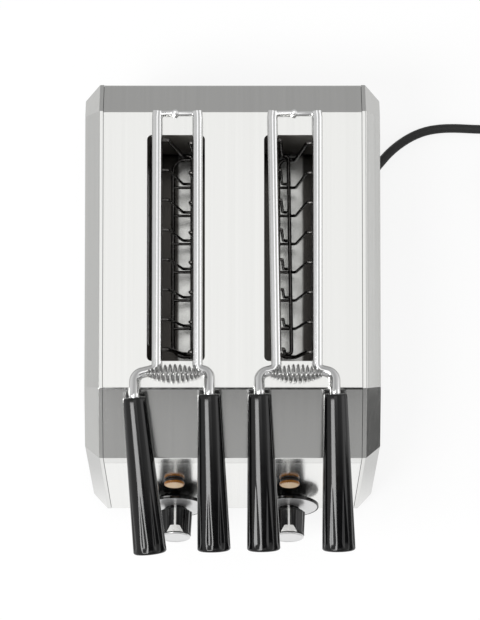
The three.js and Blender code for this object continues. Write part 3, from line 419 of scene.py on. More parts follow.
def roundFolds(piece, width):
    weights = piece.data.attributes.new("bevel_weight_edge", "FLOAT", "EDGE")
    net = bmesh.new()
    net.from_mesh(piece.data)
    for edge in net.edges:
        turn = math.degrees(edge.calc_face_angle(0))
        fold = edge.calc_length() > foldRules["length"] and foldRules["least"] < turn < foldRules["most"]
        weights.data[edge.index].value = 1.0 if fold else 0.0
    net.free()
    applyModifier(piece, "BEVEL", width=width, segments=foldRules["segments"], limit_method="WEIGHT",
                  use_clamp_overlap=True)


def refinedCopy(name, node, rim, segments=3, flat=1.0, fold=0.0, angle=8, weld=0.000002):
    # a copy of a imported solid: its loose triangles are merged, flat faces joined and edges rounded
    piece = addPiece(name, nodes[node].data.copy())
    if piece.data.has_custom_normals:
        bpy.ops.mesh.customdata_custom_splitnormals_clear()
    editWhole(piece)
    bpy.ops.mesh.remove_doubles(threshold=weld)
    bpy.ops.mesh.dissolve_limited(angle_limit=math.radians(flat))
    leaveEditing()
    if fold:
        roundFolds(piece, fold)
    if rim:
        addBevel(piece, rim, segments, angle)
    return piece


def joinPieces(first, *others):
    activate(first)
    for other in others:
        other.select_set(True)
    bpy.ops.object.join()
    return first


def finishPiece(piece, body, slot, material, *replaced, smooth=35, flats=False):
    activate(piece)
    piece.data.materials.clear()
    piece.data.materials.append(material)
    if piece.type == "MESH":
        bpy.ops.object.shade_smooth_by_angle(angle=math.radians(smooth))
        if flats:
            applyModifier(piece, "WEIGHTED_NORMAL", keep_sharp=True, weight=100)
    if body:
        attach(piece, body)
    if replaced:
        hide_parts(*replaced)
    return piece


def alongAxis(start, direction):
    # the place of a turned piece that stands on start and points along direction
    return Matrix.Translation(start) @ Vector(direction).to_track_quat("Z", "Y").to_matrix().to_4x4()


# Mains lead: out of the strain relief, along the table to the right, coiled beside the picture
lead = {"radius": 0.0041, "gland": (0.1, 0.094 + rowShift), "angle": 47, "sleeve": 0.0266,
        "startZ": 0.0044, "coilRadius": 0.045, "turns": 1.875, "turnSteps": 24, "pitch": 0.009,
        "layerRise": 0.0089, "coilGap": 0.0003, "tail": 0.052, "plugRadius": 0.0185, "plugGap": 0.0003,
        "smoothing": 3}
leadWay = Vector((math.cos(math.radians(lead["angle"])), math.sin(math.radians(lead["angle"])), 0))
gland = Vector((*lead["gland"], 0))
leadStart = gland + leadWay * lead["sleeve"] + Vector((0, 0, lead["startZ"]))
handRoute = [(124.5, 120.4, 4.4), (131, 128, 4.4), (138, 136.4, 4.1), (145.4, 144.6, 4.1),
             (154.6, 152.4, 4.1), (166, 159.6, 4.1), (179, 164.8, 4.1), (193, 167.2, 4.1),
             (207, 167.6, 4.1), (221, 167, 4.1), (235, 166.6, 4.1), (249, 167.2, 4.1), (263, 168.6, 4.1),
             (277, 170, 4.1), (289, 170.6, 4.1)]
leadPoints = [leadStart] + [Vector((x * mm, y * mm + rowShift, z * mm)) for x, y, z in handRoute]
turnSteps = lead["turnSteps"]
climb = turnSteps // 2
layerSteps = int(lead["turns"] * turnSteps)
lastStep = 2 * layerSteps + climb
outerRadius = lead["coilRadius"] + lead["turns"] * lead["pitch"] / 2
coilStart = leadPoints[-1] + Vector((lead["coilGap"], 0, 0))
coilCentre = coilStart + Vector((2 * lead["radius"], -outerRadius, 0))
coilPoints = [coilStart]
for i in range(lastStep + 1):
    coilTurn = math.pi / 2 - i / turnSteps * math.tau
    reach = outerRadius - min(i, lastStep - i) / turnSteps * lead["pitch"]
    rise = min(max((i - layerSteps) / climb, 0), 1) * lead["layerRise"]
    coilPoints.append(Vector((coilCentre.x + reach * math.cos(coilTurn),
                              coilCentre.y + reach * math.sin(coilTurn), lead["radius"] + rise)))
coilEnd = coilPoints[-1]
tailWay = coilEnd - coilPoints[-2]
tailWay.z = 0
tailWay.normalize()
tailRise = lead["plugRadius"] - coilEnd.z
tailRises = (0, tailRise / 2, tailRise, tailRise)
for i, rise in enumerate(tailRises):
    tailShare = (i + 1) / len(tailRises)
    coilPoints.append(coilEnd + tailWay * (tailShare * lead["tail"]) + Vector((0, 0, rise)))
cordPath = smoothRoute(leadPoints + coilPoints[1:], lead["smoothing"])
for point in cordPath:
    point.z = max(point.z, lead["radius"])
cord = wireCurve("mains_cord", [(cordPath, lead["radius"])], lead["radius"])
finishPiece(cord, "case", "rubber", rubber, "cord", "cord_coil")

# The strain relief's ribbed sleeve slants from its post down to the cord
sleeveForm = {"ribs": 7, "radius": 0.0067, "taper": 0.002, "first": 0.0066, "pitch": 0.0028,
              "rib": ((0, 0), (0, 0.0017), (0.0009, 0.002), (0.0009, 0.0026)),
              "end": [(0.0047, 0.0256), (0.0044, 0.026), (0, 0.026)], "startZ": 0.0075, "endZ": 0.0052,
              "reach": 0.026, "sides": 40}
postForm = {"profile": [(0, 0.0003), (0.0075, 0.0003), (0.0075, 0.0238), (0, 0.0238)],
            "round": [0.001, 0.001], "steps": 4, "sides": 40}
sleeveProfile = [(0, 0)]
for i in range(sleeveForm["ribs"]):
    ridge = sleeveForm["radius"] - sleeveForm["taper"] * (i / sleeveForm["ribs"])
    low = sleeveForm["first"] + i * sleeveForm["pitch"]
    sleeveProfile += [(ridge - groove, low + up) for groove, up in sleeveForm["rib"]]
sleeveProfile += sleeveForm["end"]
sleeveStart = gland + Vector((0, 0, sleeveForm["startZ"]))
sleeveEnd = gland + leadWay * sleeveForm["reach"] + Vector((0, 0, sleeveForm["endZ"]))
sleevePlace = alongAxis(sleeveStart, sleeveEnd - sleeveStart)
sleeve = turnedPiece("cord_sleeve", sleeveProfile, sleeveForm["sides"], sleevePlace)
post = softPiece("cord_post", postForm, Matrix.Translation(gland))
finishPiece(joinPieces(sleeve, post), "case", "rubber", rubber, "cord_strain_relief")

# The plug, from its ribbed neck to the face that carries the pins
plugForm = {"neck": [(0, 0), (0.0058, 0), (0.007, 0.0012)], "ribs": 4, "first": 0.0032, "pitch": 0.0038,
            "widen": 0.0003, "rib": ((0.0071, 0), (0.0062, 0.0006), (0.0062, 0.0018), (0.0072, 0.0024)),
            "body": [(0.0086, 0.0188), (0.0125, 0.021), (0.0175, 0.0228), (0.0185, 0.026), (0.0185, 0.035),
                     (0.0176, 0.0362), (0.0176, 0.0382), (0.0185, 0.0394), (0.0185, 0.0568),
                     (0.0173, 0.058), (0, 0.058)], "sides": 64, "pinRim": 0.0006, "pinAngle": 60}
plugWay = (coilPoints[-1] - coilPoints[-2]).normalized()
plugPlace = alongAxis(coilPoints[-1] + plugWay * lead["plugGap"], plugWay)
plugProfile = list(plugForm["neck"])
for i in range(plugForm["ribs"]):
    low = plugForm["first"] + i * plugForm["pitch"]
    plugProfile += [(radius + i * plugForm["widen"], low + up) for radius, up in plugForm["rib"]]
plugBody = turnedPiece("plug_body", plugProfile + plugForm["body"], plugForm["sides"], plugPlace)
finishPiece(plugBody, "case", "rubber", rubber, "plug")
plugPins = refinedCopy("plug_contact_pins", "plug_pins", plugForm["pinRim"], angle=plugForm["pinAngle"])
finishPiece(plugPins, "case", "chrome", chrome, "plug_pins")


# Case: sheet metal with its bends and edges rounded. Each row has the rounding of its rims and of its folds,
# its material and slot, and the piece that takes the place of each node.
def sheetNames(kind, *places):
    return {f"{place}_{kind}": f"{place}_{kind}_sheet" for place in places}


sheetRows = [
    (0.0004, 0.0014, steelTop, "steel", {"top_wrapper": "wrapper_sheet"}),
    (0.0003, 0, steelPanel, "steel", {"front_panel": "control_panel_sheet"}),
    (0.0005, 0.0007, steelCheek, "steel", {"left_cheek": "left_cheek_casting",
                                           "right_cheek": "right_cheek_casting"}),
    (0.0003, 0, innerSteel, "inner_steel", {"base_plate": "base_sheet"}),
    (0.0002, 0, innerSteel, "inner_steel", sheetNames("bulkhead", "front", "back")),
    (0.0002, 0, chamberSteel, "inner_steel", sheetNames("chamber", "left", "right")),
    (0.0002, 0.0012, reflectorMetal, "reflector", sheetNames("reflector", "left", "centre", "right")),
    (0.0005, 0, ceramic, "ceramic", {"terminal_block": "terminal_strip"}),
    (0.0003, 0.0008, traySteel, "inner_steel", {"crumb_tray": "crumb_tray_pan"}),
]
for rim, fold, material, slot, sheets in sheetRows:
    for node, name in sheets.items():
        body = "tray" if node == "crumb_tray" else "case"
        finishPiece(refinedCopy(name, node, rim, fold=fold), body, slot, material, node, flats=True)

# Each foot is one rubber turning: a pad, a stem through the base plate and a barb that holds it there
footForm = {"profile": [(0, 0.0052), (0.0048, 0.005), (0.0055, 0), (0.01, 0), (0.012, 0.016), (0.003, 0.016),
                        (0.003, 0.0178), (0.0042, 0.0178), (0.003, 0.0228), (0, 0.0228)],
            "round": [0.0004, 0.0006, 0.0012, 0.0008, 0, 0, 0.0003, 0.0006], "sides": 48,
            "places": {"left_front": (-0.1, -0.150), "right_front": (0.1, -0.150),
                       "left_back": (-0.1, 0.154), "right_back": (0.1, 0.154)}}
for name, (x, y) in footForm["places"].items():
    foot = softPiece(f"{name}_rubber_foot", footForm, Matrix.Translation((x, y + rowShift, 0)))
    finishPiece(foot, "case", "rubber", rubber, f"{name}_foot")
print("case and inside made")

# Heaters: quartz tubes with a wound wire inside, held in ceramic end blocks
heater = {"rows": ("left_outer", "left_inner", "right_inner", "right_outer"), "levels": (0.077, 0.119),
          "radius": 0.005, "rim": 0.0046, "bore": 0.0042, "endGap": 0.002, "rimGap": 0.0024, "sides": 24,
          "wire": 0.0005, "wireSides": 6, "winding": 0.0032, "windingGap": 0.008, "turns": 56,
          "turnSteps": 10, "block": 0.006, "blockRim": 0.0012}
for row in heater["rows"]:
    low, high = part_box(f"{row}_heaters")
    length = high.y - low.y
    tubes = []
    windings = []
    for z in heater["levels"]:
        profile = [(heater["rim"], heater["endGap"]), (heater["radius"], heater["rimGap"]),
                   (heater["radius"], length - heater["rimGap"]), (heater["rim"], length - heater["endGap"]),
                   (heater["bore"], length - heater["endGap"]), (heater["bore"], heater["endGap"])]
        middle = Vector(((low.x + high.x) / 2, low.y, z))
        tubes.append(turnedPiece("tube", profile, heater["sides"], alongAxis(middle, (0, 1, 0)), closed=True))
        lastTurn = heater["turns"] * heater["turnSteps"]
        spiral = []
        for i in range(lastTurn + 1):
            turn = i / heater["turnSteps"] * math.tau
            spiral.append(Vector((middle.x + heater["winding"] * math.cos(turn), low.y + heater["windingGap"]
                                  + (length - 2 * heater["windingGap"]) * i / lastTurn,
                                  z + heater["winding"] * math.sin(turn))))
        windings.append((spiral, heater["wire"]))
    finishPiece(joinPieces(*tubes), "case", "quartz", quartz, f"{row}_heaters")
    tubes[0].name = f"{row}_quartz_tubes"
    winding = wirePiece(f"{row}_winding", windings, heater["wire"], heater["wireSides"])
    finishPiece(winding, "case", "inner_steel", windingWire)
    blocks = []
    for y in (low.y + heater["block"] / 2, high.y - heater["block"] / 2):
        bpy.ops.mesh.primitive_cube_add(size=1, location=(middle.x, y, (low.z + high.z) / 2))
        block = activate(bpy.context.object)
        block.scale = (high.x - low.x, heater["block"], high.z - low.z)
        bpy.ops.object.transform_apply()
        addBevel(block, heater["blockRim"], segments=3)
        blocks.append(block)
    finishPiece(joinPieces(*blocks), "case", "ceramic", ceramic)
    blocks[0].name = f"{row}_ceramic_ends"
print("heaters made")


# Controls, each built on the leaning panel's own axes: x across, y up the panel and z out of it
panel = {"origin": Vector((0, -0.184 + rowShift, 0.016)), "angle": math.atan2(0.0468, 0.13), "knobUp": 0.031,
         "lampUp": 0.079, "knobs": {"left": -0.0513, "right": 0.0501}}
timer = {"rim": 0.0008, "angle": 30, "shaftRim": 0.0004, "shaftAngle": 60}


def panelPlace(x, up):
    turn = Matrix.Rotation(math.pi / 2 - panel["angle"], 4, "X")
    return Matrix.Translation(panel["origin"]) @ turn @ Matrix.Translation((x, up, 0))


skirtForm = {"profile": [(0.0033, 0.0015), (0.017, 0.0015), (0.022, 0.006), (0.0262, 0.006),
                         (0.0273, 0.0068), (0.0273, 0.0094), (0.0263, 0.0094), (0.0263, 0.0083),
                         (0.0033, 0.0083), (0.0033, 0.0015)],
             "round": [0.0008, 0.001, 0.0004, 0.0006, 0.0005, 0.0002, 0.0002, 0.0002], "steps": 4,
             "sides": 96}
dialForm = ringForm(0.0033, 0.026, 0.0086, 0.0094, [0.0002, 0.0003, 0.0002], 96)
knob = {"root": 0.0152, "tip": 0.014, "neck": 0.0092, "base": 0.0097, "flare": 0.005, "flareCurve": 1.3,
        "top": 0.0361, "baseEdge": 0.0004, "topEdge": 0.0008, "topRim": ((0.0002, 0.0003), (0.0007, 0)),
        "levels": 22, "sides": 112, "flutes": 14, "fluteDepth": 0.0007, "fluteCurve": 1.5, "fluteFrom": 0.008}
capForm = {"profile": [(0, 0.0364), (0.0135, 0.0364), (0.0135, 0.0371), (0.0128, 0.0379), (0.0112, 0.0379),
                       (0.0109, 0.0376), (0, 0.0376)],
           "round": [0.0002, 0.0004, 0.0003, 0.0003, 0.0003], "sides": 80}
pointerForm = {"start": 0.0003, "line": 0.0009, "step": 0.0005, "headStart": 0.0302, "headGap": 0.0001,
               "headNear": 0.0040, "headFar": 0.0070, "headSteps": 8, "endGap": 0.0004, "columns": 12,
               "lift": 0.00025, "thickness": 0.0011}
lensForm = {"profile": [(0, -0.022), (0.006, -0.022), (0.006, 0.0003), (0.0066, 0.0003),
                        (0.0066, 0.0046 / 3), (0.0089, 0.0023), (0.0089, 0.0038), (0.0081, 0.0046),
                        (0.0061, 0.0046), (0, 0.0046)],
            "round": [0.0005, 0.0002, 0.0002, 0.0004, 0.0003, 0.0003, 0.0003, 0.0001], "sides": 96,
            "face": 0.0081, "faceLevel": 0.0045, "ribs": 24, "ribFrom": 0.0015, "ribDepth": 0.0003,
            "ribLow": 0.0004}
sealForm = ringForm(0.0067, 0.0082, 0.0004, 0.0019, [0.0003, 0.0004, 0.0001], 64)


def wave(turn, count):
    # runs from 0 to 1 and back, count times round
    return 0.5 - 0.5 * math.cos(turn * count)


def knobRadius(level):
    if level < knob["base"] + knob["flare"]:
        share = max((level - knob["base"]) / knob["flare"], 0)
        return knob["neck"] + (knob["root"] - knob["neck"]) * share ** knob["flareCurve"]
    share = (level - knob["base"] - knob["flare"]) / (knob["top"] - knob["base"] - knob["flare"])
    return knob["root"] - (knob["root"] - knob["tip"]) * share


def makeGrip(name):
    base, top = knob["base"], knob["top"]
    profile = [(0, base), (knob["neck"] - knob["baseEdge"], base)]
    for i in range(knob["levels"] + 1):
        share = i / knob["levels"]
        level = base + knob["baseEdge"] + (top - base - knob["baseEdge"] - knob["topEdge"]) * share
        profile.append((knobRadius(level), level))
    profile += [(knob["tip"] - inward, top - down) for inward, down in knob["topRim"]]
    grip = turnedPiece(name, profile + [(0, top)], knob["sides"])
    # scallops run down the grip between its ridges; one ridge carries the pointer
    for vertex, radius, turn in aroundAxis(grip):
        if radius >= knob["fluteFrom"] and vertex.co.z <= top - knob["topEdge"]:
            scallop = wave(turn - math.pi / 2, knob["flutes"]) ** knob["fluteCurve"]
            pressIn(vertex, radius, knob["fluteDepth"] * scallop)
    return grip


def makePointer(name):
    # a painted line that follows the grip's upper ridge and widens to a wedge at its end
    form, columns = pointerForm, pointerForm["columns"]
    lineStart = knob["base"] + form["start"]
    lineRows = math.ceil((form["headStart"] - lineStart) / form["step"])
    rows = [(lineStart + i * form["step"], form["line"]) for i in range(lineRows)]
    rows.append((form["headStart"], form["line"]))
    headStart, headEnd = form["headStart"] + form["headGap"], knob["top"] - form["endGap"]
    for i in range(form["headSteps"] + 1):
        share = i / form["headSteps"]
        rows.append((headStart + (headEnd - headStart) * share,
                     form["headNear"] + (form["headFar"] - form["headNear"]) * share))
    points, faces = [], []
    for level, half in rows:
        radius = knobRadius(level) + form["lift"]
        for i in range(columns + 1):
            x = half * (2 * i / columns - 1)
            points.append((x, math.sqrt(radius ** 2 - x ** 2), level))
    for row in range(len(rows) - 1):
        for i in range(columns):
            near, far = row * (columns + 1) + i, (row + 1) * (columns + 1) + i
            faces.append((near, near + 1, far + 1, far))
    piece = newPiece(name, points, faces=faces)
    applyModifier(piece, "SOLIDIFY", thickness=form["thickness"], offset=0)
    tidyMesh(piece)
    piece.data.transform(Matrix.Translation((0, -form["thickness"] / 2, 0)))
    return piece


def makeLens(name):
    form = lensForm
    lens = softPiece(name, form)
    faceShade = lens.data.attributes.new("lens_face", "FLOAT", "POINT")
    for vertex, radius, turn in aroundAxis(lens):
        # the face is pale, with a tooth of the darker side between each two ribs
        rib = wave(turn, form["ribs"])
        onRim = radius > form["face"] - form["ribFrom"]
        onFace = vertex.co.z > form["faceLevel"]
        faceShade.data[vertex.index].value = (rib if onRim else 1.0) if onFace else 0.0
        if onRim and vertex.co.z > form["ribLow"]:
            pressIn(vertex, radius, form["ribDepth"] * rib)
    return lens


for side, x in panel["knobs"].items():
    place = panelPlace(x, panel["knobUp"])
    body = f"{side}_knob"
    skirt = softPiece(f"{side}_knob_base_disc", skirtForm, place, closed=True)
    finishPiece(skirt, body, "black_plastic", blackPlastic, f"{side}_knob_skirt")
    dial = softPiece(f"{side}_silver_dial", dialForm, place, closed=True)
    finishPiece(dial, body, "silver_paint", silverPaint, f"{side}_dial_ring")
    grip = makeGrip(f"{side}_fluted_grip")
    grip.data.transform(place)
    finishPiece(grip, body, "black_plastic", blackPlastic, f"{side}_knob_grip", smooth=50)
    cap = softPiece(f"{side}_silver_cap", capForm, place)
    finishPiece(cap, body, "silver_paint", silverPaint, f"{side}_knob_cap")
    pointer = makePointer(f"{side}_white_pointer")
    pointer.data.transform(place)
    finishPiece(pointer, body, "white_paint", whitePaint, f"{side}_knob_pointer", smooth=40)

    lampPlace = panelPlace(x, panel["lampUp"])
    lens = makeLens(f"{side}_lamp_lens")
    lens.data.transform(lampPlace)
    finishPiece(lens, "case", "amber", amber, f"{side}_pilot_lamp", smooth=40)
    seal = softPiece(f"{side}_lamp_seal", sealForm, lampPlace, closed=True)
    finishPiece(seal, "case", "rubber", rubber)
    timerCase = refinedCopy(f"{side}_timer_case", f"{side}_timer", timer["rim"], angle=timer["angle"])
    finishPiece(timerCase, "case", "timer_plastic", timerPlastic, f"{side}_timer")
    spindle = refinedCopy(f"{side}_timer_spindle", f"{side}_timer_shaft", timer["shaftRim"],
                          angle=timer["shaftAngle"])
    finishPiece(spindle, body, "brass", brass, f"{side}_timer_shaft")
print("controls made")


# Tongs: sideways places are shares of the bar spacing, counted from the slot's centre
tong = {"spacing": 0.0346, "barRadius": 0.0044, "barSides": 24, "barZ": 0.1647, "backY": 0.157 + rowShift,
        "backEnd": 0.0016, "backTurn": 0.0005, "backStretch": 0.004, "bendY": -0.0617 + rowShift,
        "jogRise": 0.0015, "jogSlope": 0.24, "barRound": [0.002, 0.0052, 0.0084, 0.003],
        "springY": -0.0658 + rowShift, "tabHalf": 0.0016, "tabNeck": 0.001, "tabThickness": 0.003,
        "tabRim": 0.0006, "eye": 0.0029, "eyeSteps": 16}
halves = {"left": {"sign": -1, "tabLow": 0.1649, "depth": 0.095, "offset": 0},
          "right": {"sign": 1, "tabLow": 0.1616, "depth": 0.104, "offset": 0.0022}}
tongGrip = {"y": -0.083 + rowShift, "z": 0.1715, "length": 0.133, "drop": 0.0126, "near": 0.01, "far": 0.0142,
            "barOut": 0.002, "barIn": 0.02, "sides": 144, "levels": 56, "collar": 0.004, "tip": 0.0025,
            "mouth": [(0, 0.003), (0.0049, 0.003), (0.0049, 0)], "mouthInset": 0.0002, "collarOut": 0.0001,
            "mouthRound": [0.0002, 0.0008, 0.0018], "tipEdge": 0.0024, "tipFlat": 0.006, "tipRound": 0.002,
            "tipDish": 0.0003, "flutes": 8, "fluteDepth": 0.0009, "fluteHalf": 0.0034, "fluteStart": 0.54,
            "fluteRun": 0.38, "fluteEnd": 0.972, "fluteEndRun": 0.022, "fluteFrom": 0.008}
comb = {"top": 0.0008, "caseTop": 0.16, "slotBack": 0.1387 + rowShift, "backGap": 0.0034, "barGap": 0.0003,
        "ribPitch": 0.0255, "ribCount": 8, "rib": 0.0013, "frameWire": 0.0017, "sides": 12,
        "bend": 0.004, "corner": 0.011, "cornerShare": 0.9}
tongShapes = {
    "left_tong": {"centre": -0.0484, "pin": -0.02, "spring": (-0.694, 0.627),
                  "left": {"back": -0.462, "front": -0.462, "handle": -1.003, "gripEnd": -0.62,
                           "gripStart": 0.08, "cage": (0.28, 0.295, 0.237), "roll": 6},
                  "right": {"back": 0.535, "front": 0.535, "handle": 0.829, "gripEnd": 0.942,
                            "gripStart": 0, "cage": (0.19, -0.127, 0.624), "roll": 7}},
    "right_tong": {"centre": 0.0516, "pin": 0.02, "spring": (-0.552, 0.714),
                   "left": {"back": -0.509, "front": -0.416, "handle": -0.835, "gripEnd": -0.728,
                            "gripStart": -0.01, "cage": (0.185, 0.098, 0.173), "roll": -2},
                   "right": {"back": 0.598, "front": 0.587, "handle": 1.017, "gripEnd": 1.11,
                             "gripStart": -0.01, "cage": (0.251, 0.188, 0.457), "roll": -1}},
}
rivet = {"low": 0.1603, "profile": [(0, 0), (0.0024, 0), (0.0024, 0.001), (0.0013, 0.001), (0.0013, 0.0079),
                                    (0.0024, 0.0079), (0.0024, 0.0083), (0.0013, 0.0089), (0, 0.0089)],
         "round": [0.0003, 0.0003, 0, 0, 0.0003, 0.0004, 0.0004], "steps": 4, "sides": 40}
spring = {"wire": 0.0016, "endRadius": 0.0029, "midRadius": 0.008, "turns": 12.5, "turnSteps": 20,
          "spread": 0.2, "gap": 0.0003, "sides": 12}
springZ = (tong["barZ"] + tong["jogRise"] + tong["barRadius"] + spring["wire"] + spring["endRadius"]
           + spring["gap"])


def barX(shape, bar, y):
    share = (tong["backY"] - y) / (tong["backY"] - tong["bendY"])
    return shape["centre"] + (bar["back"] + (bar["front"] - bar["back"]) * share) * tong["spacing"]


def gripAxis(shape, bar):
    start = Vector((shape["centre"] + bar["handle"] * tong["spacing"],
                    tongGrip["y"] - bar["gripStart"] * tong["spacing"], tongGrip["z"]))
    dx = (bar["gripEnd"] - bar["handle"]) * tong["spacing"]
    dy = -math.sqrt(tongGrip["length"] ** 2 - dx ** 2 - tongGrip["drop"] ** 2)
    return start, Vector((dx, dy, -tongGrip["drop"])).normalized()


def tabOutline(x0, x1, y):
    inward = 1 if x1 > x0 else -1
    half, eye, neck = tong["tabHalf"], tong["eye"], x1 - inward * tong["tabNeck"]
    outline = [(x0, y - half), (neck, y - half), (x1, y - eye)]
    for i in range(1, tong["eyeSteps"]):
        angle = -math.pi / 2 + math.pi * inward * i / tong["eyeSteps"]
        outline.append((x1 + eye * math.cos(angle), y + eye * math.sin(angle)))
    return outline + [(x1, y + eye), (neck, y + half), (x0, y + half)]


def makeBar(name, shape, side, pinX):
    # a rod from the hinge to the grip, with its flat tab on the rivet
    bar, z, backY = shape[side], tong["barZ"], tong["backY"]
    start, along = gripAxis(shape, bar)
    frontX = shape["centre"] + bar["front"] * tong["spacing"]
    handleX = shape["centre"] + bar["handle"] * tong["spacing"]
    jogY = tong["bendY"] - abs(handleX - frontX) * tong["jogSlope"]
    backX = barX(shape, bar, backY)
    inward = 1 if pinX > backX else -1
    route = roundedRoute([
        (backX + inward * tong["backTurn"], backY + tong["backEnd"], z),
        (backX, backY - tong["backStretch"], z), (frontX, tong["bendY"], z),
        (handleX, jogY, z + tong["jogRise"]),
        start - along * tongGrip["barOut"], start + along * tongGrip["barIn"]],
        tong["barRound"], steps=8)
    rod = wirePiece(f"{name}_{side}_rod", [(route, tong["barRadius"])], tong["barRadius"], tong["barSides"])
    low = halves[side]["tabLow"]
    tab = platePiece(f"{name}_{side}_tab", tabOutline(backX, pinX, backY), low, low + tong["tabThickness"],
                     tong["tabRim"])
    return joinPieces(rod, tab)


def fluteGrip(piece, roll):
    # shallow wedge-shaped flutes start half way down the grip and end, rounded, just short of its tip
    form, pitch = tongGrip, math.tau / tongGrip["flutes"]
    for vertex, radius, turn in aroundAxis(piece):
        share = vertex.co.z / form["length"]
        run = min(max((share - form["fluteStart"]) / form["fluteRun"], 0), 1)
        end = min(max((form["fluteEnd"] - share) / form["fluteEndRun"], 0), 1)
        if run <= 0 or end <= 0 or radius < form["fluteFrom"]:
            continue
        end = math.sqrt(1 - (1 - end) ** 2)
        away = abs((turn + math.radians(roll)) % pitch - pitch / 2)
        across = away * radius / (form["fluteHalf"] * run * end)
        pressIn(vertex, radius, form["fluteDepth"] * run * end * max(0, 1 - across ** 2) ** 2)


def makeHandle(name, shape, bar):
    form, length, near, far = tongGrip, tongGrip["length"], tongGrip["near"], tongGrip["far"]
    mouth = form["mouth"] + [(near - form["mouthInset"], 0), (near + form["collarOut"], form["collar"])]
    profile = softProfile(mouth, form["mouthRound"], steps=5)[:-1]
    for i in range(form["levels"] + 1):
        level = form["collar"] + (length - form["collar"] - form["tip"]) * i / form["levels"]
        profile.append((near + (far - near) * level / length, level))
    profile += softProfile([(far, length - form["tipEdge"]), (far, length), (form["tipFlat"], length)],
                           [form["tipRound"]], steps=5)[1:]
    handle = turnedPiece(name, profile + [(0, length - form["tipDish"])], form["sides"])
    fluteGrip(handle, bar["roll"])
    handle.data.transform(alongAxis(*gripAxis(shape, bar)))
    return handle


def makeComb(name, shape, side):
    # the wire comb that holds the bread: frame wire round the edge, ribs across it
    bar, half = shape[side], halves[side]
    top, foot = tong["barZ"] - comb["top"], comb["caseTop"] - half["depth"]
    flange, lean, footLength = (share * tong["spacing"] for share in bar["cage"])
    backRib = comb["slotBack"] - comb["backGap"] - comb["frameWire"] - half["offset"]

    def corners(y):
        x = barX(shape, bar, y)
        return [Vector((x - half["sign"] * reach, y, z)) for reach, z in (
            (tong["barRadius"] + comb["barGap"], top), (flange, top), (flange + lean, foot),
            (flange + lean + footLength, foot))]

    front = corners(backRib - comb["ribPitch"] * (comb["ribCount"] - 1))
    bend, corner = comb["bend"], min(comb["corner"], footLength * comb["cornerShare"])
    wires = [(roundedRoute(corners(backRib) + front[::-1], [bend, bend, corner, corner, bend, bend]),
              comb["frameWire"])]
    for i in range(1, comb["ribCount"] - 1):
        wires.append((roundedRoute(corners(backRib - i * comb["ribPitch"]), bend, steps=5), comb["rib"]))
    return wirePiece(name, wires, comb["frameWire"], comb["sides"])


def springRoute(startX, endX, endZ):
    # a barrel of wire: its turns are widest and lie closest together in the middle
    centreX, half = (startX + endX) / 2, (endX - startX - spring["wire"]) / 2
    count = int(spring["turns"] * spring["turnSteps"])
    route = []
    for i in range(count + 1):
        share = 2 * i / count - 1
        x = centreX + half * ((1 + spring["spread"]) * share - spring["spread"] * share ** 3)
        swell = (spring["midRadius"] - spring["endRadius"]) * (1 - ((x - centreX) / half) ** 2)
        radius = spring["endRadius"] + swell - spring["wire"] / 2
        angle = -math.pi / 2 + i / spring["turnSteps"] * math.tau
        route.append(Vector((x, tong["springY"] + radius * math.sin(angle),
                             springZ + radius * math.cos(angle))))
    return [Vector((route[0].x, route[0].y, endZ))] + route + [Vector((route[-1].x, route[-1].y, endZ))]


for name, shape in tongShapes.items():
    pinX = shape["centre"] + shape["pin"] * tong["spacing"]
    for side in halves:
        body = f"{name}_{side}_half"
        bar = makeBar(name, shape, side, pinX)
        finishPiece(bar, body, "chrome", chrome, f"{name}_{side}_bar", smooth=40)
        handle = makeHandle(f"{name}_{side}_handle", shape, shape[side])
        finishPiece(handle, body, "black_plastic", blackPlastic, f"{name}_{side}_grip", smooth=45)
        cage = makeComb(f"{name}_{side}_comb", shape, side)
        finishPiece(cage, body, "cage_wire", cageWire, f"{name}_{side}_cage", smooth=60)
    pin = softPiece(f"{name}_hinge_rivet", rivet, Matrix.Translation((pinX, tong["backY"], rivet["low"])))
    finishPiece(pin, f"{name}_hinge", "chrome", chrome, f"{name}_pin")

    # the barrel spring is made as two halves, one for each bar
    startX, endX = (shape["centre"] + share * tong["spacing"] for share in shape["spring"])
    coil = springRoute(startX, endX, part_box(f"{name}_spring")[0].z + spring["wire"] / 2)
    middle = len(coil) // 2
    wireRadius = spring["wire"] / 2
    for side, part, far in (("left", coil[:middle + 1], startX), ("right", coil[middle:], endX)):
        springHalf = wirePiece(f"{name}_spring_{side}_half", [(part, wireRadius)], wireRadius,
                               spring["sides"])
        finishPiece(springHalf, None, "chrome", springSteel, f"{name}_spring", smooth=60)
        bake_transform(springHalf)
print("tongs made")


# Floor, world and lamps. The camera sees the floor and the world brighter than the steel mirrors them. A lamp
# has its place, aim, size and brightness, and a card its place, size, turn and paint.
studio = {"world": 0.42, "worldSide": 0.62, "worldStart": 0.2, "worldEnd": 0.75,
          "worldSeen": 1.0, "floorPaint": "f7f7f7", "paintRoughness": 0.9,
          "floorSize": 3.4, "floorZ": -0.0002, "floorMix": 0.8, "floorGlow": 1.05,
          "sideGlow": 0.69, "glowStart": 0.12, "glowEnd": 0.16,
          "lamps": {"key": ((-1.05, -0.57, 2.05), (-0.02, -0.57, 0.1), (0.72, 1.25), 8.5),
                    "over": ((0, 0.35, 3.2), (0, 0.35, 0), (1.7, 1.6), 0.72),
                    "fill": ((2.0, -0.1, 0.7), (0, -0.1, 0.1), (2.0, 1.2), 0.7)},
          "cards": {"side": ((0.62, -0.345, 0.16), (0.41, 0.32), (90, 0, 90), "606060"),
                    "front": ((0.95, -0.68, 2.2), (2.5, 0.6), (0, 0, 0), "101010")}}
bpy.ops.mesh.primitive_plane_add(size=studio["floorSize"], location=(0, 0, studio["floorZ"]))
floor = bpy.context.object
floor.name = "floor"
bpy.ops.object.transform_apply()
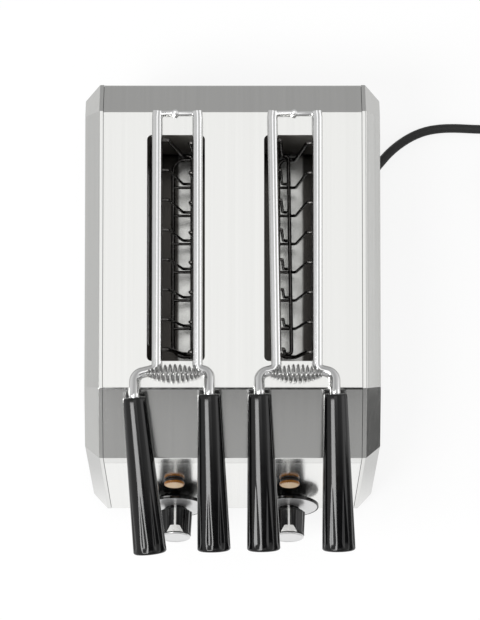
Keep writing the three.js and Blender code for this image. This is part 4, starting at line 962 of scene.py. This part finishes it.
floorPaint = newMaterial("floor_paint", studio["floorPaint"], studio["paintRoughness"])
floorPath = addNode(floorPaint, "LightPath")
seen, mirrored = floorPath.outputs["Is Camera Ray"], floorPath.outputs["Is Glossy Ray"]
floorAside = calculate(floorPaint, "ABSOLUTE", axisOf(floorPaint, "X", "NewGeometry", "Position"))
sideGlow = ramp(floorPaint, floorAside, studio["floorGlow"], studio["sideGlow"], studio["glowStart"],
                studio["glowEnd"])
seenGlow = calculate(floorPaint, "MULTIPLY", seen, studio["floorGlow"])
glow = addNode(floorPaint, "Emission")
feed(floorPaint, calculate(floorPaint, "MAXIMUM", seenGlow, sideGlow), glow.inputs["Strength"])
glowShare = calculate(floorPaint, "MULTIPLY", calculate(floorPaint, "MAXIMUM", seen, mirrored),
                      studio["floorMix"])
blend = addNode(floorPaint, "MixShader")
feed(floorPaint, glowShare, blend.inputs["Fac"])
feed(floorPaint, surfaceOf(floorPaint).outputs["BSDF"], blend.inputs[1])
feed(floorPaint, glow.outputs["Emission"], blend.inputs[2])
feed(floorPaint, blend.outputs["Shader"], floorPaint.node_tree.nodes["Material Output"].inputs["Surface"])
floor.data.materials.append(floorPaint)

# cards that steel and plastic mirror, as a studio uses to give them an edge; the camera doesn't see them
for name, (place, size, turn, paint) in studio["cards"].items():
    bpy.ops.mesh.primitive_plane_add(size=1, location=place, rotation=[math.radians(a) for a in turn])
    card = bpy.context.object
    card.name = f"{name}_card"
    card.scale = (*size, 1)
    bpy.ops.object.transform_apply()
    card.data.materials.append(newMaterial(f"{name}_card_paint", paint, studio["paintRoughness"]))
    card.visible_camera = False
    card.visible_shadow = False
    card.visible_diffuse = False

world = bpy.data.worlds.new("studio")
bpy.context.scene.world = world
world.use_nodes = True
sky = world.node_tree.nodes["Background"]
sky.inputs["Color"].default_value = (1, 1, 1, 1)
worldAside = calculate(world, "ABSOLUTE", axisOf(world, "X", output="Generated"))
worldLevel = ramp(world, worldAside, studio["world"], studio["worldSide"], studio["worldStart"],
                  studio["worldEnd"])
worldSeen = addNode(world, "LightPath").outputs["Is Camera Ray"]
feed(world, ramp(world, worldSeen, worldLevel, studio["worldSeen"], 0, 1), sky.inputs["Strength"])
for name, (place, aim, size, brightness) in studio["lamps"].items():
    bpy.ops.object.light_add(type="AREA", location=place)
    lamp = bpy.context.object
    lamp.name = f"{name}_lamp"
    lamp.data.shape = "RECTANGLE"
    lamp.data.size, lamp.data.size_y = size
    lamp.data.energy = brightness * math.pi * size[0] * size[1]
    lamp.rotation_mode = "QUATERNION"
    lamp.rotation_quaternion = (Vector(place) - Vector(aim)).to_track_quat("Z", "Y")
bpy.context.scene.view_settings.view_transform = "Standard"
print("studio lit")
